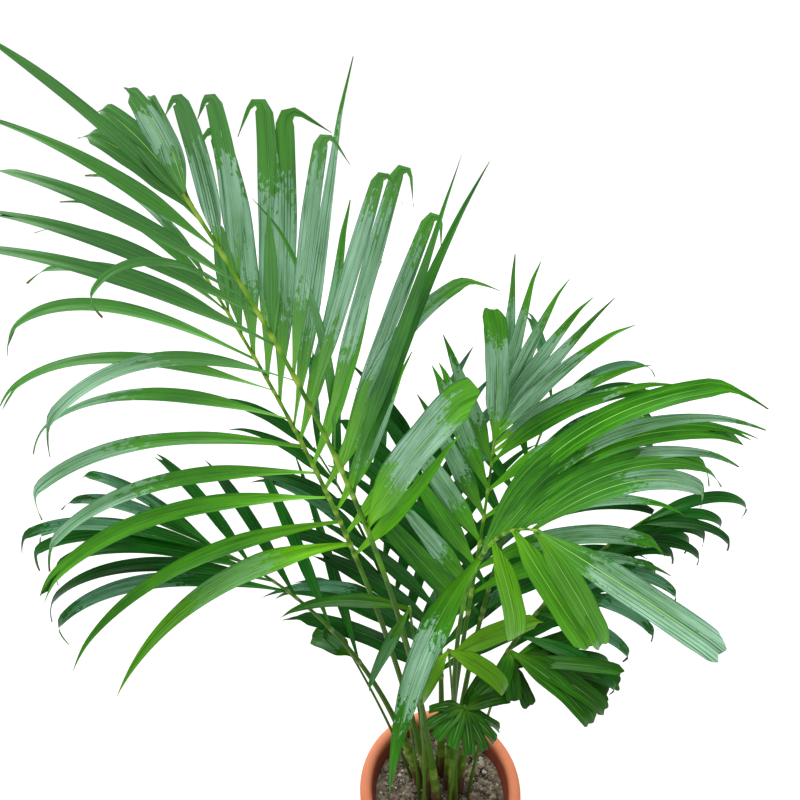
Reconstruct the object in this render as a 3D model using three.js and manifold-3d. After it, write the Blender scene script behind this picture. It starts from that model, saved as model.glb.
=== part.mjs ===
// A clump of young golden cane palm in a round clay pot.
// Millimetres, +Z up. The origin is on the pot's axis, in the plane that the pot stands on.
import * as THREE from "three";
import { mergeVertices } from "three/addons/utils/BufferGeometryUtils.js";
import Module from "manifold-3d";

const wasm = await Module();
wasm.setup();

// ---- driving dimensions ----
const GAP = 0.3; // clearance between pieces that touch

const POT_HEIGHT = 230;
const POT_BASE_RADIUS = 84;
const POT_SHOULDER_RADIUS = 111; // outside of the wall just under the rim
const RIM_RADIUS = 124;
const RIM_HEIGHT = 30;
const RIM_WIDTH = 18;
const POT_WALL = 10;
const POT_FLOOR = 12;
const POT_SEGMENTS = 36;
const DRAIN_COUNT = 3;
const DRAIN_RADIUS = 6;
const DRAIN_CIRCLE = 38;

const SOIL_TOP = 200;
const SOIL_LUMP = 3; // height of the lumps on the soil
const SOIL_RINGS = 5;
const STEM_DEPTH = 18; // how far stems and stalks reach into the soil

const STEM_HEIGHT = 120; // length of the sheathed stem above the soil
const STEM_RADIUS = [7.5, 5.5];
const STALK_RADIUS = [4.4, 1.1]; // of a frond, at its foot and its tip
const SEEDLING_RADIUS = [2.6, 1.4];
const STALK_SIDES = 6;
const STALK_STEPS = 11;
const STEM_STEPS = 6;
const TIP_INSET = 4; // the last leaflets start this far before the end of their stalk

const BLADE_STATIONS = [0, 0.15, 0.4, 0.72, 1];
const BLADE_STEPS = 24; // steps of the curve that a leaflet follows
const BLADE_BEND = 1.5; // how late along a leaflet its droop sets in
const KEEL = 0.11; // depth of a leaflet's fold, as a share of its width
const KEEL_MIN = 1.1;
const TEST_MARGIN = 0.9; // extra width and depth kept free around a leaflet

// A leaflet that would cut another frond turns, or is shorter, by the first of these that clears.
const TURNS = [0, 4, -4, 8, -8, 12, -12, 17, -17, 23, -23, 30, -30, 40, -40];
const SHRINKS = [1, 0.85, 0.7, 0.5, 0.35];

const COLOURS = {
  clay: [0xcf7c56, 0.75],
  soil: [0x6f6459, 0.95],
  stem: [0x8a9a3c, 0.5],
  frond: [0x2f7f1c, 0.4],
  dark: [0x1d5220, 0.45],
  seedling: [0x2c6a1f, 0.45],
};

// ---- the leaves ----
// A stalk starts at foot (x, y) on the soil. It leans from the vertical by lean[0] at its foot and
// lean[1] at its tip, towards heading, which swings round by swing on the way. bend above 1 keeps
// the lean back until nearer the tip. A spray is a row of leaflets along one side of the stalk: each
// pair of numbers is the value at the first leaflet and at the last. along is the place on the
// stalk, rise and fall are the slope of a leaflet at its base and at its tip, roll turns its face
// about its own length, and swing turns it sideways along the way. late above BLADE_BEND keeps
// the droop back until nearer its tip. Angles are in degrees.
const FRONDS = [
  {
    name: "frond_left", foot: [-14, 0], heading: 182, swing: 0, lean: [8, 23], bend: 1.6,
    length: 905, colour: "frond",
    sprays: [
      { count: 1, along: [0.62, 0.62], heading: [199, 199], swing: [40, 40], rise: [10, 10],
        fall: [-44, -44], length: [290, 290], width: [26, 26], roll: [30, 30], late: 2.2 },
      { count: 7, along: [0.66, 0.9], heading: [200, 182], swing: [20, 0], rise: [8, 30],
        fall: [-53, -60], length: [322, 262], width: [18, 12], roll: [30, 26], late: 2.2 },
      { count: 4, along: [0.94, 0.995], heading: [182, 188], swing: [0, 0], rise: [40, 66],
        fall: [-20, 30], length: [190, 130], width: [11, 9], roll: [30, 40] },
      { count: 6, along: [0.6, 0.79], heading: [8, 4], swing: [0, 0], rise: [52, 74],
        fall: [62, 80], length: [200, 240], width: [19, 17], roll: [-50, -60] },
      { count: 1, along: [0.808, 0.808], heading: [-5, -5], swing: [0, 0], rise: [78, 78],
        fall: [79, 79], length: [340, 340], width: [17, 17], roll: [-70, -70] },
      { count: 3, along: [0.844, 0.905], heading: [-2, 16], swing: [0, 0], rise: [82, 87],
        fall: [82, 104], length: [298, 236], width: [20, 19], roll: [-76, -80], late: 2.2 },
      { count: 2, along: [0.93, 0.955], heading: [10, 10], swing: [0, 0], rise: [88, 90],
        fall: [96, 100], length: [120, 90], width: [14, 11], roll: [-70, -70] },
    ],
  },
  {
    name: "frond_front_left", foot: [-4, -16], heading: 210, swing: 6, lean: [6, 24], bend: 1.6,
    length: 1020, colour: "frond",
    sprays: [
      { count: 5, along: [0.87, 0.98], heading: [190, 174], swing: [0, 0], rise: [36, 50],
        fall: [0, 26], length: [215, 155], width: [11, 10], roll: [42, 42] },
      { count: 1, along: [0.833, 0.833], heading: [200, 200], swing: [40, 40], rise: [32, 32],
        fall: [-50, -50], length: [214, 214], width: [12, 12], roll: [20, 20], late: 2.2 },
      { count: 1, along: [0.905, 0.905], heading: [194, 194], swing: [24, 24], rise: [48, 48],
        fall: [-88, -88], length: [140, 140], width: [6, 6], roll: [30, 30], late: 2.2 },
      { count: 4, along: [0.984, 1], heading: [176, 150], swing: [-10, -30], rise: [52, 84],
        fall: [10, 20], length: [88, 70], width: [15, 14], roll: [50, 60] },
      { count: 2, along: [0.93, 0.955], heading: [4, 16], swing: [0, 0], rise: [86, 96],
        fall: [104, 108], length: [128, 108], width: [14, 13], roll: [-78, -80], late: 2.2 },
      { count: 1, along: [0.88, 0.88], heading: [2, 2], swing: [0, 0], rise: [84, 84],
        fall: [88, 88], length: [104, 104], width: [11, 11], roll: [-78, -78] },
      { count: 4, along: [0.735, 0.84], heading: [16, 4], swing: [0, 0], rise: [68, 78],
        fall: [72, 72], length: [266, 204], width: [13, 12], roll: [-74, -78], late: 2.2 },
      { count: 2, along: [0.69, 0.71], heading: [-6, -12], swing: [0, 0], rise: [74, 74],
        fall: [71, 79], length: [324, 310], width: [14, 13], roll: [-72, -66] },
      { count: 1, along: [0.725, 0.725], heading: [10, 10], swing: [-10, -10], rise: [74, 74],
        fall: [16, 16], length: [236, 236], width: [14, 14], roll: [-70, -70], late: 2.2 },
      { count: 1, along: [0.64, 0.64], heading: [-30, -30], swing: [0, 0], rise: [68, 68],
        fall: [52, 52], length: [224, 224], width: [38, 38], roll: [-58, -58], blunt: true },
      { count: 1, along: [0.745, 0.745], heading: [180, 180], swing: [0, 0], rise: [93, 93],
        fall: [60, 60], length: [232, 232], width: [8, 8], roll: [70, 70] },
    ],
  },
  {
    name: "frond_low_left", foot: [-30, 14], heading: 165, swing: 27, lean: [12, 46], bend: 1.6,
    length: 600, colour: "dark",
    sprays: [
      { count: 5, along: [0.8, 0.97], heading: [186, 180], swing: [10, 0], rise: [24, 30],
        fall: [-76, -52], length: [318, 268], width: [18, 15], roll: [22, 30], late: 2.2 },
      { count: 3, along: [0.965, 1], heading: [177, 164], swing: [0, 0], rise: [26, 42],
        fall: [-50, -24], length: [240, 190], width: [15, 13], roll: [28, 40], late: 2.2 },
      { count: 4, along: [0.52, 0.9], heading: [118, 140], swing: [0, 0], rise: [52, 46],
        fall: [24, 10], length: [290, 190], width: [18, 14], roll: [34, 34] },
    ],
  },
  {
    name: "frond_centre", foot: [14, 10], heading: 45, swing: 36, lean: [-3, 41], bend: 1.6,
    length: 675, colour: "frond",
    sprays: [
      { count: 8, along: [0.9, 0.99], heading: [-10, 16], swing: [0, 0], rise: [46, 86],
        fall: [12, 92], length: [228, 192], width: [20, 17], roll: [-62, -84] },
      { count: 1, along: [0.92, 0.92], heading: [170, 170], swing: [0, 0], rise: [89, 89],
        fall: [80, 80], length: [190, 190], width: [27, 27], roll: [80, 80], blunt: true },
      { count: 7, along: [0.58, 0.88], heading: [174, 168], swing: [0, 0], rise: [54, 70],
        fall: [54, 68], length: [200, 186], width: [27, 23], roll: [62, 70] },
      { count: 6, along: [0.62, 0.88], heading: [-4, -8], swing: [0, 0], rise: [44, 54],
        fall: [-40, 0], length: [270, 240], width: [23, 21], roll: [-40, -52] },
    ],
  },
  {
    name: "frond_front_right", foot: [20, -12], heading: -40, swing: -27, lean: [-3, 57], bend: 4,
    length: 707, colour: "frond",
    sprays: [
      { count: 8, along: [0.785, 0.985], heading: [-12, 8], swing: [0, 0], rise: [79, 47],
        fall: [-5, -54], length: [360, 190], width: [22.4, 19.4], roll: [-48, -40] },
      { count: 1, along: [0.79, 0.79], heading: [228, 228], swing: [30, 30], rise: [-14, -14],
        fall: [-64, -64], length: [258, 258], width: [32, 32], roll: [24, 24] },
      { count: 1, along: [0.853, 0.853], heading: [-62, -62], swing: [0, 0], rise: [-46, -46],
        fall: [-84, -84], length: [116, 116], width: [27, 27], roll: [0, 0], blunt: true },
      { count: 2, along: [0.93, 0.99], heading: [-52, -34], swing: [0, 0], rise: [-34, -48],
        fall: [-28, -54], length: [132, 142], width: [28, 28], roll: [-10, -20], blunt: true },
      { count: 1, along: [1, 1], heading: [-38, -38], swing: [0, 0], rise: [-8, -8],
        fall: [-14, -14], length: [182, 182], width: [27, 27], roll: [-30, -30], blunt: true },
    ],
  },
  {
    name: "frond_back", foot: [2, 30], heading: 100, swing: 0, lean: [2, 52], bend: 1.6,
    length: 560, colour: "dark",
    sprays: [
      { count: 10, along: [0.4, 0.98], heading: [176, 150], swing: [0, 0], rise: [46, 60],
        fall: [10, 30], length: [250, 175], width: [25, 19], roll: [60, 60] },
      { count: 10, along: [0.42, 0.99], heading: [10, 44], swing: [0, 0], rise: [46, 62],
        fall: [0, 30], length: [250, 175], width: [25, 19], roll: [-60, -60] },
    ],
  },
  {
    name: "frond_right", foot: [30, 8], heading: 20, swing: -10, lean: [2, 54], bend: 1.6,
    length: 600, colour: "dark",
    sprays: [
      { count: 9, along: [0.55, 0.97], heading: [12, 4], swing: [0, 0], rise: [48, 34],
        fall: [-60, -86], length: [200, 160], width: [18, 14], roll: [-40, -30], late: 2.2 },
      { count: 6, along: [0.6, 0.97], heading: [-30, -14], swing: [0, 0], rise: [12, 18],
        fall: [-66, -80], length: [150, 125], width: [17, 14], roll: [-24, -20], late: 2.2 },
    ],
  },
  {
    name: "frond_back_right", foot: [22, 30], heading: 58, swing: 0, lean: [3, 56], bend: 1.6,
    length: 660, colour: "dark",
    sprays: [
      { count: 8, along: [0.5, 0.98], heading: [150, 100], swing: [0, 0], rise: [56, 50],
        fall: [20, -10], length: [210, 170], width: [21, 16], roll: [50, 50] },
      { count: 9, along: [0.52, 0.99], heading: [-20, 20], swing: [0, 0], rise: [44, 36],
        fall: [-20, -60], length: [240, 180], width: [20, 15], roll: [-44, -30], late: 2 },
    ],
  },
  {
    name: "frond_back_left", foot: [-18, 28], heading: 132, swing: 0, lean: [5, 58], bend: 1.6,
    length: 600, colour: "dark",
    sprays: [
      { count: 7, along: [0.5, 0.97], heading: [196, 170], swing: [0, 0], rise: [46, 48],
        fall: [-30, 0], length: [220, 170], width: [20, 15], roll: [30, 40] },
      { count: 8, along: [0.42, 0.98], heading: [60, 100], swing: [0, 0], rise: [46, 50],
        fall: [-10, 20], length: [210, 160], width: [20, 15], roll: [-40, -40] },
    ],
  },
  {
    name: "seedling_fan", foot: [12, -36], heading: -80, swing: 0, lean: [0, 10], bend: 1,
    length: 340, colour: "seedling",
    sprays: [
      { count: 8, along: [0.955, 1], heading: [-10, -190], swing: [0, 0], rise: [-16, -4],
        fall: [-54, -46], length: [55, 52], width: [15, 15], roll: [0, 0], blunt: true },
      { count: 3, along: [0.9, 0.96], heading: [60, 20], swing: [0, 0], rise: [30, 10],
        fall: [-20, -30], length: [62, 68], width: [17, 17], roll: [-10, -10], blunt: true },
    ],
  },
  {
    name: "seedling_right", foot: [44, -6], heading: 0, swing: 0, lean: [2, 9], bend: 1,
    length: 368, colour: "seedling",
    sprays: [
      { count: 6, along: [0.92, 1], heading: [18, -36], swing: [0, 0], rise: [8, -10],
        fall: [-30, -46], length: [156, 140], width: [28, 28], roll: [-14, -14], blunt: true },
      { count: 3, along: [0.86, 0.93], heading: [56, 28], swing: [0, 0], rise: [30, 20],
        fall: [4, 0], length: [130, 156], width: [20, 18], roll: [-10, -10], blunt: true },
      { count: 3, along: [0.93, 0.99], heading: [-60, -110], swing: [0, 0], rise: [-10, -20],
        fall: [-60, -60], length: [62, 50], width: [20, 20], roll: [0, 0], blunt: true },
    ],
  },
  {
    name: "seedling_forked", foot: [24, -24], heading: 190, swing: 0, lean: [2, 6], bend: 1,
    length: 400, colour: "seedling",
    sprays: [
      { count: 1, along: [0.99, 0.99], heading: [-24, -24], swing: [0, 0], rise: [-4, -4],
        fall: [-64, -64], length: [92, 92], width: [24, 24], roll: [-20, -20], blunt: true },
      { count: 1, along: [1, 1], heading: [225, 225], swing: [0, 0], rise: [-30, -30],
        fall: [-84, -84], length: [78, 78], width: [22, 22], roll: [0, 0] },
      { count: 1, along: [0.96, 0.96], heading: [12, 12], swing: [0, 0], rise: [30, 30],
        fall: [0, 0], length: [130, 130], width: [24, 24], roll: [-30, -30] },
    ],
  },
  {
    name: "seedling_left", foot: [-44, 24], heading: 176, swing: 0, lean: [12, 19], bend: 1,
    length: 325, colour: "seedling",
    sprays: [
      { count: 2, along: [0.97, 1], heading: [120, 160], swing: [0, 0], rise: [30, 50],
        fall: [-10, 20], length: [64, 50], width: [24, 20], roll: [20, 20], blunt: true },
    ],
  },
  {
    name: "seedling_small", foot: [-32, -14], heading: 186, swing: 0, lean: [2, 9], bend: 1,
    length: 300, colour: "seedling",
    sprays: [
      { count: 2, along: [0.97, 1], heading: [40, 80], swing: [0, 0], rise: [50, -20],
        fall: [10, -70], length: [66, 60], width: [20, 20], roll: [-20, -20], blunt: true },
    ],
  },
  {
    name: "seedling_tall", foot: [-26, -42], heading: 190, swing: 0, lean: [0, 6], bend: 1,
    length: 500, colour: "seedling",
    sprays: [
      { count: 1, along: [0.99, 0.99], heading: [184, 184], swing: [10, 10], rise: [10, 10],
        fall: [-40, -40], length: [158, 158], width: [18, 18], roll: [20, 20] },
      { count: 1, along: [1, 1], heading: [240, 240], swing: [-20, -20], rise: [-20, -20],
        fall: [-80, -80], length: [110, 110], width: [15, 15], roll: [14, 14] },
    ],
  },
];

// ---- vectors and angles ----
const lerp = (pair, t) => pair[0] + (pair[1] - pair[0]) * t;
const radians = (degrees) => (degrees * Math.PI) / 180;

/** A repeatable number from -1 to 1 for a pair of counts. */
function jitter(a, b) {
  const wave = Math.sin(a * 12.9898 + b * 78.233) * 43758.5453;
  return (wave - Math.floor(wave)) * 2 - 1;
}

/** The unit vector at a heading and a slope above the horizontal. */
function direction(heading, slope) {
  const level = Math.cos(radians(slope));
  return new THREE.Vector3(
    level * Math.cos(radians(heading)),
    level * Math.sin(radians(heading)),
    Math.sin(radians(slope)),
  );
}

// ---- solids ----
/** A manifold solid from a three.js geometry whose faces close. */
function solidOf(geometry) {
  const bare = geometry.clone();
  bare.deleteAttribute("normal");
  bare.deleteAttribute("uv");
  const merged = mergeVertices(bare, 1e-4);
  return new wasm.Manifold(
    new wasm.Mesh({
      numProp: 3,
      vertProperties: new Float32Array(merged.attributes.position.array),
      triVerts: new Uint32Array(merged.index.array),
    }),
  );
}

/** A three.js geometry from a manifold solid. */
function geometryOf(solid) {
  const mesh = solid.getMesh();
  const geometry = new THREE.BufferGeometry();
  geometry.setAttribute("position", new THREE.BufferAttribute(mesh.vertProperties, 3));
  geometry.setIndex(new THREE.BufferAttribute(mesh.triVerts, 1));
  geometry.computeVertexNormals();
  return geometry;
}

/** A closed skin through rings of equal count, with a fan of triangles over each end. */
function loft(rings) {
  const count = rings[0].length;
  const index = [];
  for (let r = 0; r + 1 < rings.length; r += 1) {
    for (let k = 0; k < count; k += 1) {
      const a = r * count + k;
      const b = r * count + ((k + 1) % count);
      index.push(a, b, b + count, a, b + count, a + count);
    }
  }
  const last = (rings.length - 1) * count;
  for (let k = 1; k + 1 < count; k += 1) {
    index.push(0, k + 1, k, last, last + k, last + k + 1);
  }
  const geometry = new THREE.BufferGeometry();
  const flat = rings.flat().flatMap((point) => [point.x, point.y, point.z]);
  geometry.setAttribute("position", new THREE.Float32BufferAttribute(flat, 3));
  geometry.setIndex(index);
  return solidOf(geometry);
}

/** A round tapering solid along a row of points. */
function rod(points, radii) {
  const rings = points.map((point, i) => {
    const ahead = points[Math.min(i + 1, points.length - 1)];
    const behind = points[Math.max(i - 1, 0)];
    const along = ahead.clone().sub(behind).normalize();
    const side = new THREE.Vector3(0, 1, 0).cross(along).normalize();
    const front = along.clone().cross(side);
    const radius = lerp(radii, i / (points.length - 1));
    return Array.from({ length: STALK_SIDES }, (_, k) => {
      const angle = (2 * Math.PI * k) / STALK_SIDES;
      return point
        .clone()
        .addScaledVector(side, radius * Math.cos(angle))
        .addScaledVector(front, radius * Math.sin(angle));
    });
  });
  return loft(rings);
}

// ---- stalks and leaflets ----
const PATH_STEPS = 96;

/** The points of a stalk, from the soil to its tip. */
function stalkPath(leaf) {
  const points = [new THREE.Vector3(leaf.foot[0], leaf.foot[1], SOIL_TOP)];
  const step = leaf.length / PATH_STEPS;
  for (let i = 0; i < PATH_STEPS; i += 1) {
    const s = (i + 0.5) / PATH_STEPS;
    const slope = 90 - lerp(leaf.lean, s ** leaf.bend);
    const move = direction(leaf.heading + leaf.swing * s, slope).multiplyScalar(step);
    points.push(points[i].clone().add(move));
  }
  return points;
}

/** The point at a share of the way along a row of evenly spaced points. */
function pointAt(points, share) {
  const place = share * (points.length - 1);
  const i = Math.min(Math.floor(place), points.length - 2);
  return points[i].clone().lerp(points[i + 1], place - i);
}

/** The width of a leaflet at a share of its length, as a share of its full width. */
function widthShare(s, blunt) {
  const rise = Math.min(1, 0.25 + 2.8 * s);
  const start = blunt ? 0.85 : 0.5;
  const loss = blunt ? 0.35 : 0.96;
  const t = Math.max(0, (s - start) / (1 - start));
  return rise * (1 - loss * t ** 1.7);
}

/** The values of one leaflet of a spray. */
function leafletOf(spray, index, seed) {
  const t = spray.count > 1 ? index / (spray.count - 1) : 0;
  const loose = spray.count > 1 ? 1 : 0;
  return {
    along: lerp(spray.along, t),
    heading: lerp(spray.heading, t) + 3 * loose * jitter(seed, index + 1),
    swing: lerp(spray.swing, t),
    rise: lerp(spray.rise, t) + 3 * loose * jitter(seed, index + 21),
    fall: lerp(spray.fall, t) + 6 * loose * jitter(seed, index + 41),
    length: lerp(spray.length, t) * (1 + 0.05 * loose * jitter(seed, index + 61)),
    width: lerp(spray.width, t),
    roll: lerp(spray.roll, t) + 5 * loose * jitter(seed, index + 81),
    late: spray.late ?? BLADE_BEND,
    blunt: Boolean(spray.blunt),
  };
}

/** The solid of a leaflet: a shallow keel below a flat top, narrow at its base and its tip. */
function bladeSolid(base, leaflet, turn, shrink, margin) {
  const points = [base];
  const step = (leaflet.length * shrink) / BLADE_STEPS;
  const headingAt = (s) => leaflet.heading + turn + leaflet.swing * s;
  const slopeAt = (s) => lerp([leaflet.rise, leaflet.fall], s ** leaflet.late);
  for (let i = 0; i < BLADE_STEPS; i += 1) {
    const s = (i + 0.5) / BLADE_STEPS;
    points.push(points[i].clone().addScaledVector(direction(headingAt(s), slopeAt(s)), step));
  }
  const rings = BLADE_STATIONS.map((s) => {
    const point = pointAt(points, s);
    const along = direction(headingAt(s), slopeAt(s));
    const side = direction(headingAt(s) - 90, 0);
    const up = side.clone().cross(along);
    const roll = radians(leaflet.roll);
    const across = side.clone().multiplyScalar(Math.cos(roll)).addScaledVector(up, Math.sin(roll));
    const face = across.clone().cross(along);
    const half = (leaflet.width * widthShare(s, leaflet.blunt)) / 2 + margin;
    const depth = Math.max(KEEL_MIN, KEEL * 2 * half) + margin;
    const keel = point.clone().addScaledVector(face, -margin);
    const left = point.clone().addScaledVector(across, -half).addScaledVector(face, depth);
    const right = point.clone().addScaledVector(across, half).addScaledVector(face, depth);
    return [keel, left, right];
  });
  return loft(rings);
}

// ---- keeping the fronds apart ----
const placed = [];

/** Whether two boxes share any space. */
function boxesMeet(a, b) {
  return [0, 1, 2].every((axis) => a.min[axis] <= b.max[axis] && b.min[axis] <= a.max[axis]);
}

/** Whether a solid is clear of every placed solid of the other leaves. */
function isClear(solid, owner) {
  const box = solid.boundingBox();
  return placed.every(
    (other) =>
      other.owner === owner ||
      !boxesMeet(box, other.box) ||
      other.solid.intersect(solid).isEmpty(),
  );
}

/** Keeps a solid's place, so that later leaves stay off it. */
function keepPlace(solid, owner) {
  placed.push({ solid, owner, box: solid.boundingBox() });
}

/** The leaflet's solid at its first turn and length that clears the other leaves. */
function clearBlade(base, leaflet, owner) {
  for (const shrink of SHRINKS) {
    for (const turn of TURNS) {
      if (isClear(bladeSolid(base, leaflet, turn, shrink, TEST_MARGIN), owner)) {
        return bladeSolid(base, leaflet, turn, shrink, 0);
      }
    }
  }
  return null;
}

// ---- pieces ----
const part = new THREE.Group();

/** Adds one named piece to the part. */
function addPiece(name, geometry, [colour, roughness]) {
  const material = new THREE.MeshStandardMaterial({ color: colour, roughness, metalness: 0 });
  const mesh = new THREE.Mesh(geometry, material);
  mesh.name = name;
  part.add(mesh);
}

/** Points on an arc of the section plane, from one angle to another in degrees. */
function arc(centre, radius, from, to, steps) {
  return Array.from({ length: steps + 1 }, (_, i) => {
    const angle = radians(from + ((to - from) * i) / steps);
    return new THREE.Vector2(
      centre.x + radius * Math.cos(angle),
      centre.y + radius * Math.sin(angle),
    );
  });
}

/** The inside radius of the pot's wall at a height. */
function potInside(z) {
  const slope = (POT_SHOULDER_RADIUS - POT_BASE_RADIUS) / (POT_HEIGHT - RIM_HEIGHT);
  return Math.min(POT_BASE_RADIUS + slope * z - POT_WALL, RIM_RADIUS - RIM_WIDTH);
}

/** The pot: a tapering wall with a thick round rim and three drain holes. */
function potSolid() {
  const under = POT_HEIGHT - RIM_HEIGHT;
  const bead = RIM_WIDTH / 2;
  const corner = 4;
  const profile = [
    new THREE.Vector2(0, 0),
    ...arc(new THREE.Vector2(POT_BASE_RADIUS - corner, corner), corner, -90, 0, 2),
    new THREE.Vector2(POT_SHOULDER_RADIUS, under),
    ...arc(new THREE.Vector2(RIM_RADIUS - corner, under + corner), corner, -90, 0, 2),
    ...arc(new THREE.Vector2(RIM_RADIUS - bead, POT_HEIGHT - bead), bead, 0, 180, 6),
    new THREE.Vector2(potInside(under - corner), under - corner),
    new THREE.Vector2(potInside(POT_FLOOR), POT_FLOOR),
    new THREE.Vector2(0, POT_FLOOR),
  ];
  let solid = solidOf(new THREE.LatheGeometry(profile, POT_SEGMENTS).rotateX(Math.PI / 2));
  for (let i = 0; i < DRAIN_COUNT; i += 1) {
    const angle = (2 * Math.PI * i) / DRAIN_COUNT;
    const drill = new THREE.CylinderGeometry(DRAIN_RADIUS, DRAIN_RADIUS, POT_FLOOR * 3, 12);
    drill.rotateX(Math.PI / 2);
    drill.translate(DRAIN_CIRCLE * Math.cos(angle), DRAIN_CIRCLE * Math.sin(angle), 0);
    solid = solid.subtract(solidOf(drill));
  }
  return solid;
}

/** The soil: it fills the pot to a lumpy top, with a socket round each stem and stalk. */
function soilSolid(sockets) {
  const bottom = POT_FLOOR + GAP;
  const profile = [
    new THREE.Vector2(0, bottom),
    new THREE.Vector2(potInside(bottom) - GAP, bottom),
    new THREE.Vector2(potInside(SOIL_TOP - SOIL_LUMP * 2) - 2 * GAP, SOIL_TOP - SOIL_LUMP * 2),
  ];
  for (let ring = SOIL_RINGS; ring >= 0; ring -= 1) {
    const reach = potInside(SOIL_TOP - SOIL_LUMP) - 2 * GAP;
    profile.push(new THREE.Vector2((reach * ring) / SOIL_RINGS, SOIL_TOP));
  }
  const geometry = new THREE.LatheGeometry(profile, POT_SEGMENTS).rotateX(Math.PI / 2);
  const position = geometry.attributes.position;
  for (let i = 0; i < position.count; i += 1) {
    const x = position.getX(i);
    const y = position.getY(i);
    const lump = Math.sin(x * 0.13 + 1) * Math.cos(y * 0.11) + 0.5 * Math.sin(x * 0.31 - y * 0.27);
    const inside = Math.hypot(x, y) < potInside(SOIL_TOP) - 8;
    if (position.getZ(i) > SOIL_TOP - 1 && inside) {
      position.setZ(i, SOIL_TOP + SOIL_LUMP * lump * 0.6);
    }
  }
  return sockets.reduce((solid, socket) => solid.subtract(socket), solidOf(geometry));
}

/** The stretch of a stalk between two distances above its foot, with points below the soil. */
function stretch(path, length, from, to, steps) {
  return Array.from({ length: steps + 1 }, (_, i) => {
    const distance = from + ((to - from) * i) / steps;
    if (distance < 0) {
      const down = path[0].clone().sub(path[1]).normalize();
      return path[0].clone().addScaledVector(down, -distance);
    }
    return pointAt(path, distance / length);
  });
}

/** The stalk of a leaf, its stem if it has one, and the socket that they need in the soil. */
function stalkOf(leaf) {
  const path = stalkPath(leaf);
  const reach = (from, to, steps) => stretch(path, leaf.length, from, to, steps);
  if (leaf.colour === "seedling") {
    const stalk = rod(reach(-STEM_DEPTH, leaf.length, STALK_STEPS), SEEDLING_RADIUS);
    const wide = SEEDLING_RADIUS[0] + 2 * GAP;
    const socket = rod(reach(-STEM_DEPTH - GAP, STEM_HEIGHT, STALK_STEPS), [wide, wide]);
    return { path, stalk, stem: null, socket };
  }
  const stalk = rod(reach(STEM_HEIGHT + GAP, leaf.length, STALK_STEPS), STALK_RADIUS);
  const stem = rod(reach(-STEM_DEPTH, STEM_HEIGHT, STEM_STEPS), STEM_RADIUS);
  const wide = STEM_RADIUS.map((radius) => radius + GAP);
  const socket = rod(reach(-STEM_DEPTH - GAP, STEM_HEIGHT, STEM_STEPS), wide);
  return { path, stalk, stem, socket };
}

/** A whole leaf: its stalk and every leaflet, grown as one piece. */
function leafSolid(leaf, number, path, stalk) {
  const blades = [];
  leaf.sprays.forEach((spray, row) => {
    for (let i = 0; i < spray.count; i += 1) {
      const leaflet = leafletOf(spray, i, number * 10 + row);
      const along = Math.min(leaflet.along, 1 - TIP_INSET / leaf.length);
      const blade = clearBlade(pointAt(path, along), leaflet, leaf.name);
      if (blade) {
        blades.push(blade);
        keepPlace(blade, leaf.name);
      } else {
        console.warn(`no room for ${leaf.name} ${row} ${i}`);
      }
    }
  });
  return wasm.Manifold.union([stalk, ...blades]);
}

const grown = FRONDS.map((leaf) => ({ leaf, ...stalkOf(leaf) }));
for (const { leaf, stalk, stem } of grown) {
  keepPlace(stalk, leaf.name);
  if (stem) {
    keepPlace(stem, leaf.name);
  }
}

addPiece("pot", geometryOf(potSolid()), COLOURS.clay);
addPiece("soil", geometryOf(soilSolid(grown.map(({ socket }) => socket))), COLOURS.soil);
grown.forEach(({ leaf, path, stalk, stem }, number) => {
  if (stem) {
    addPiece(leaf.name.replace("frond", "stem"), geometryOf(stem), COLOURS.stem);
  }
  addPiece(leaf.name, geometryOf(leafSolid(leaf, number, path, stalk)), COLOURS[leaf.colour]);
});

export default part;
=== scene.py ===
"""Looks of a clump of young golden cane palm in a round clay pot.

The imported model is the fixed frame. Every stem, stalk and leaflet is grown again along the same
paths as its solid, with real blades in place of the solid keels. Metres, +Z up, origin on the
pot's axis in the plane that it stands on.
"""

import logging
import math
from dataclasses import dataclass, field
from enum import Enum

import bmesh
import bpy
import numpy as np
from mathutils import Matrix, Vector, kdtree, noise


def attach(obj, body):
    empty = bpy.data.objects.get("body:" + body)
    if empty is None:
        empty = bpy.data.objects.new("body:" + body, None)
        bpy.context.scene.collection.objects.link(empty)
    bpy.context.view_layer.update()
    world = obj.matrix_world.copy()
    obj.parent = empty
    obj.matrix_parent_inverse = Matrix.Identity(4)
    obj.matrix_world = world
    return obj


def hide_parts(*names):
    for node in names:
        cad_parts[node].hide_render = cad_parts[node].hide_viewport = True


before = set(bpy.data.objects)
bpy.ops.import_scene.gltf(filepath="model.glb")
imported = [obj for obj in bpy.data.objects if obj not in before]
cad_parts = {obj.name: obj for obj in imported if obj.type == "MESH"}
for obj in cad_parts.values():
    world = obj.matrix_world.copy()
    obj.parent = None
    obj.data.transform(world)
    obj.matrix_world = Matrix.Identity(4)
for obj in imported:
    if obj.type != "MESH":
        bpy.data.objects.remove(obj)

LOG = logging.getLogger("palm")

Pair = tuple[float, float]
Triple = tuple[float, float, float]
Colour = Triple
Socket = bpy.types.NodeSocket
Value = float | Socket
Paint = Colour | Socket

SOIL_TOP = 0.200
STEM_DEPTH = 0.018
STEM_HEIGHT = 0.120
STEM_RADIUS: Pair = (0.0075, 0.0055)
STALK_RADIUS: Pair = (0.0044, 0.0011)
SEEDLING_RADIUS: Pair = (0.0026, 0.0014)
TIP_INSET = 0.004
PATH_STEPS = 96
BLADE_STEPS = 24
BLADE_BEND = 1.5
KEEL = 0.11
TURNS = (0, 4, -4, 8, -8, 12, -12, 17, -17, 23, -23, 30, -30, 40, -40)
SHRINKS = (1.0, 0.85, 0.7, 0.5, 0.35)
MATCH = 0.0006  # how near a solid's own tip a leaflet's end has to come


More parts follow.
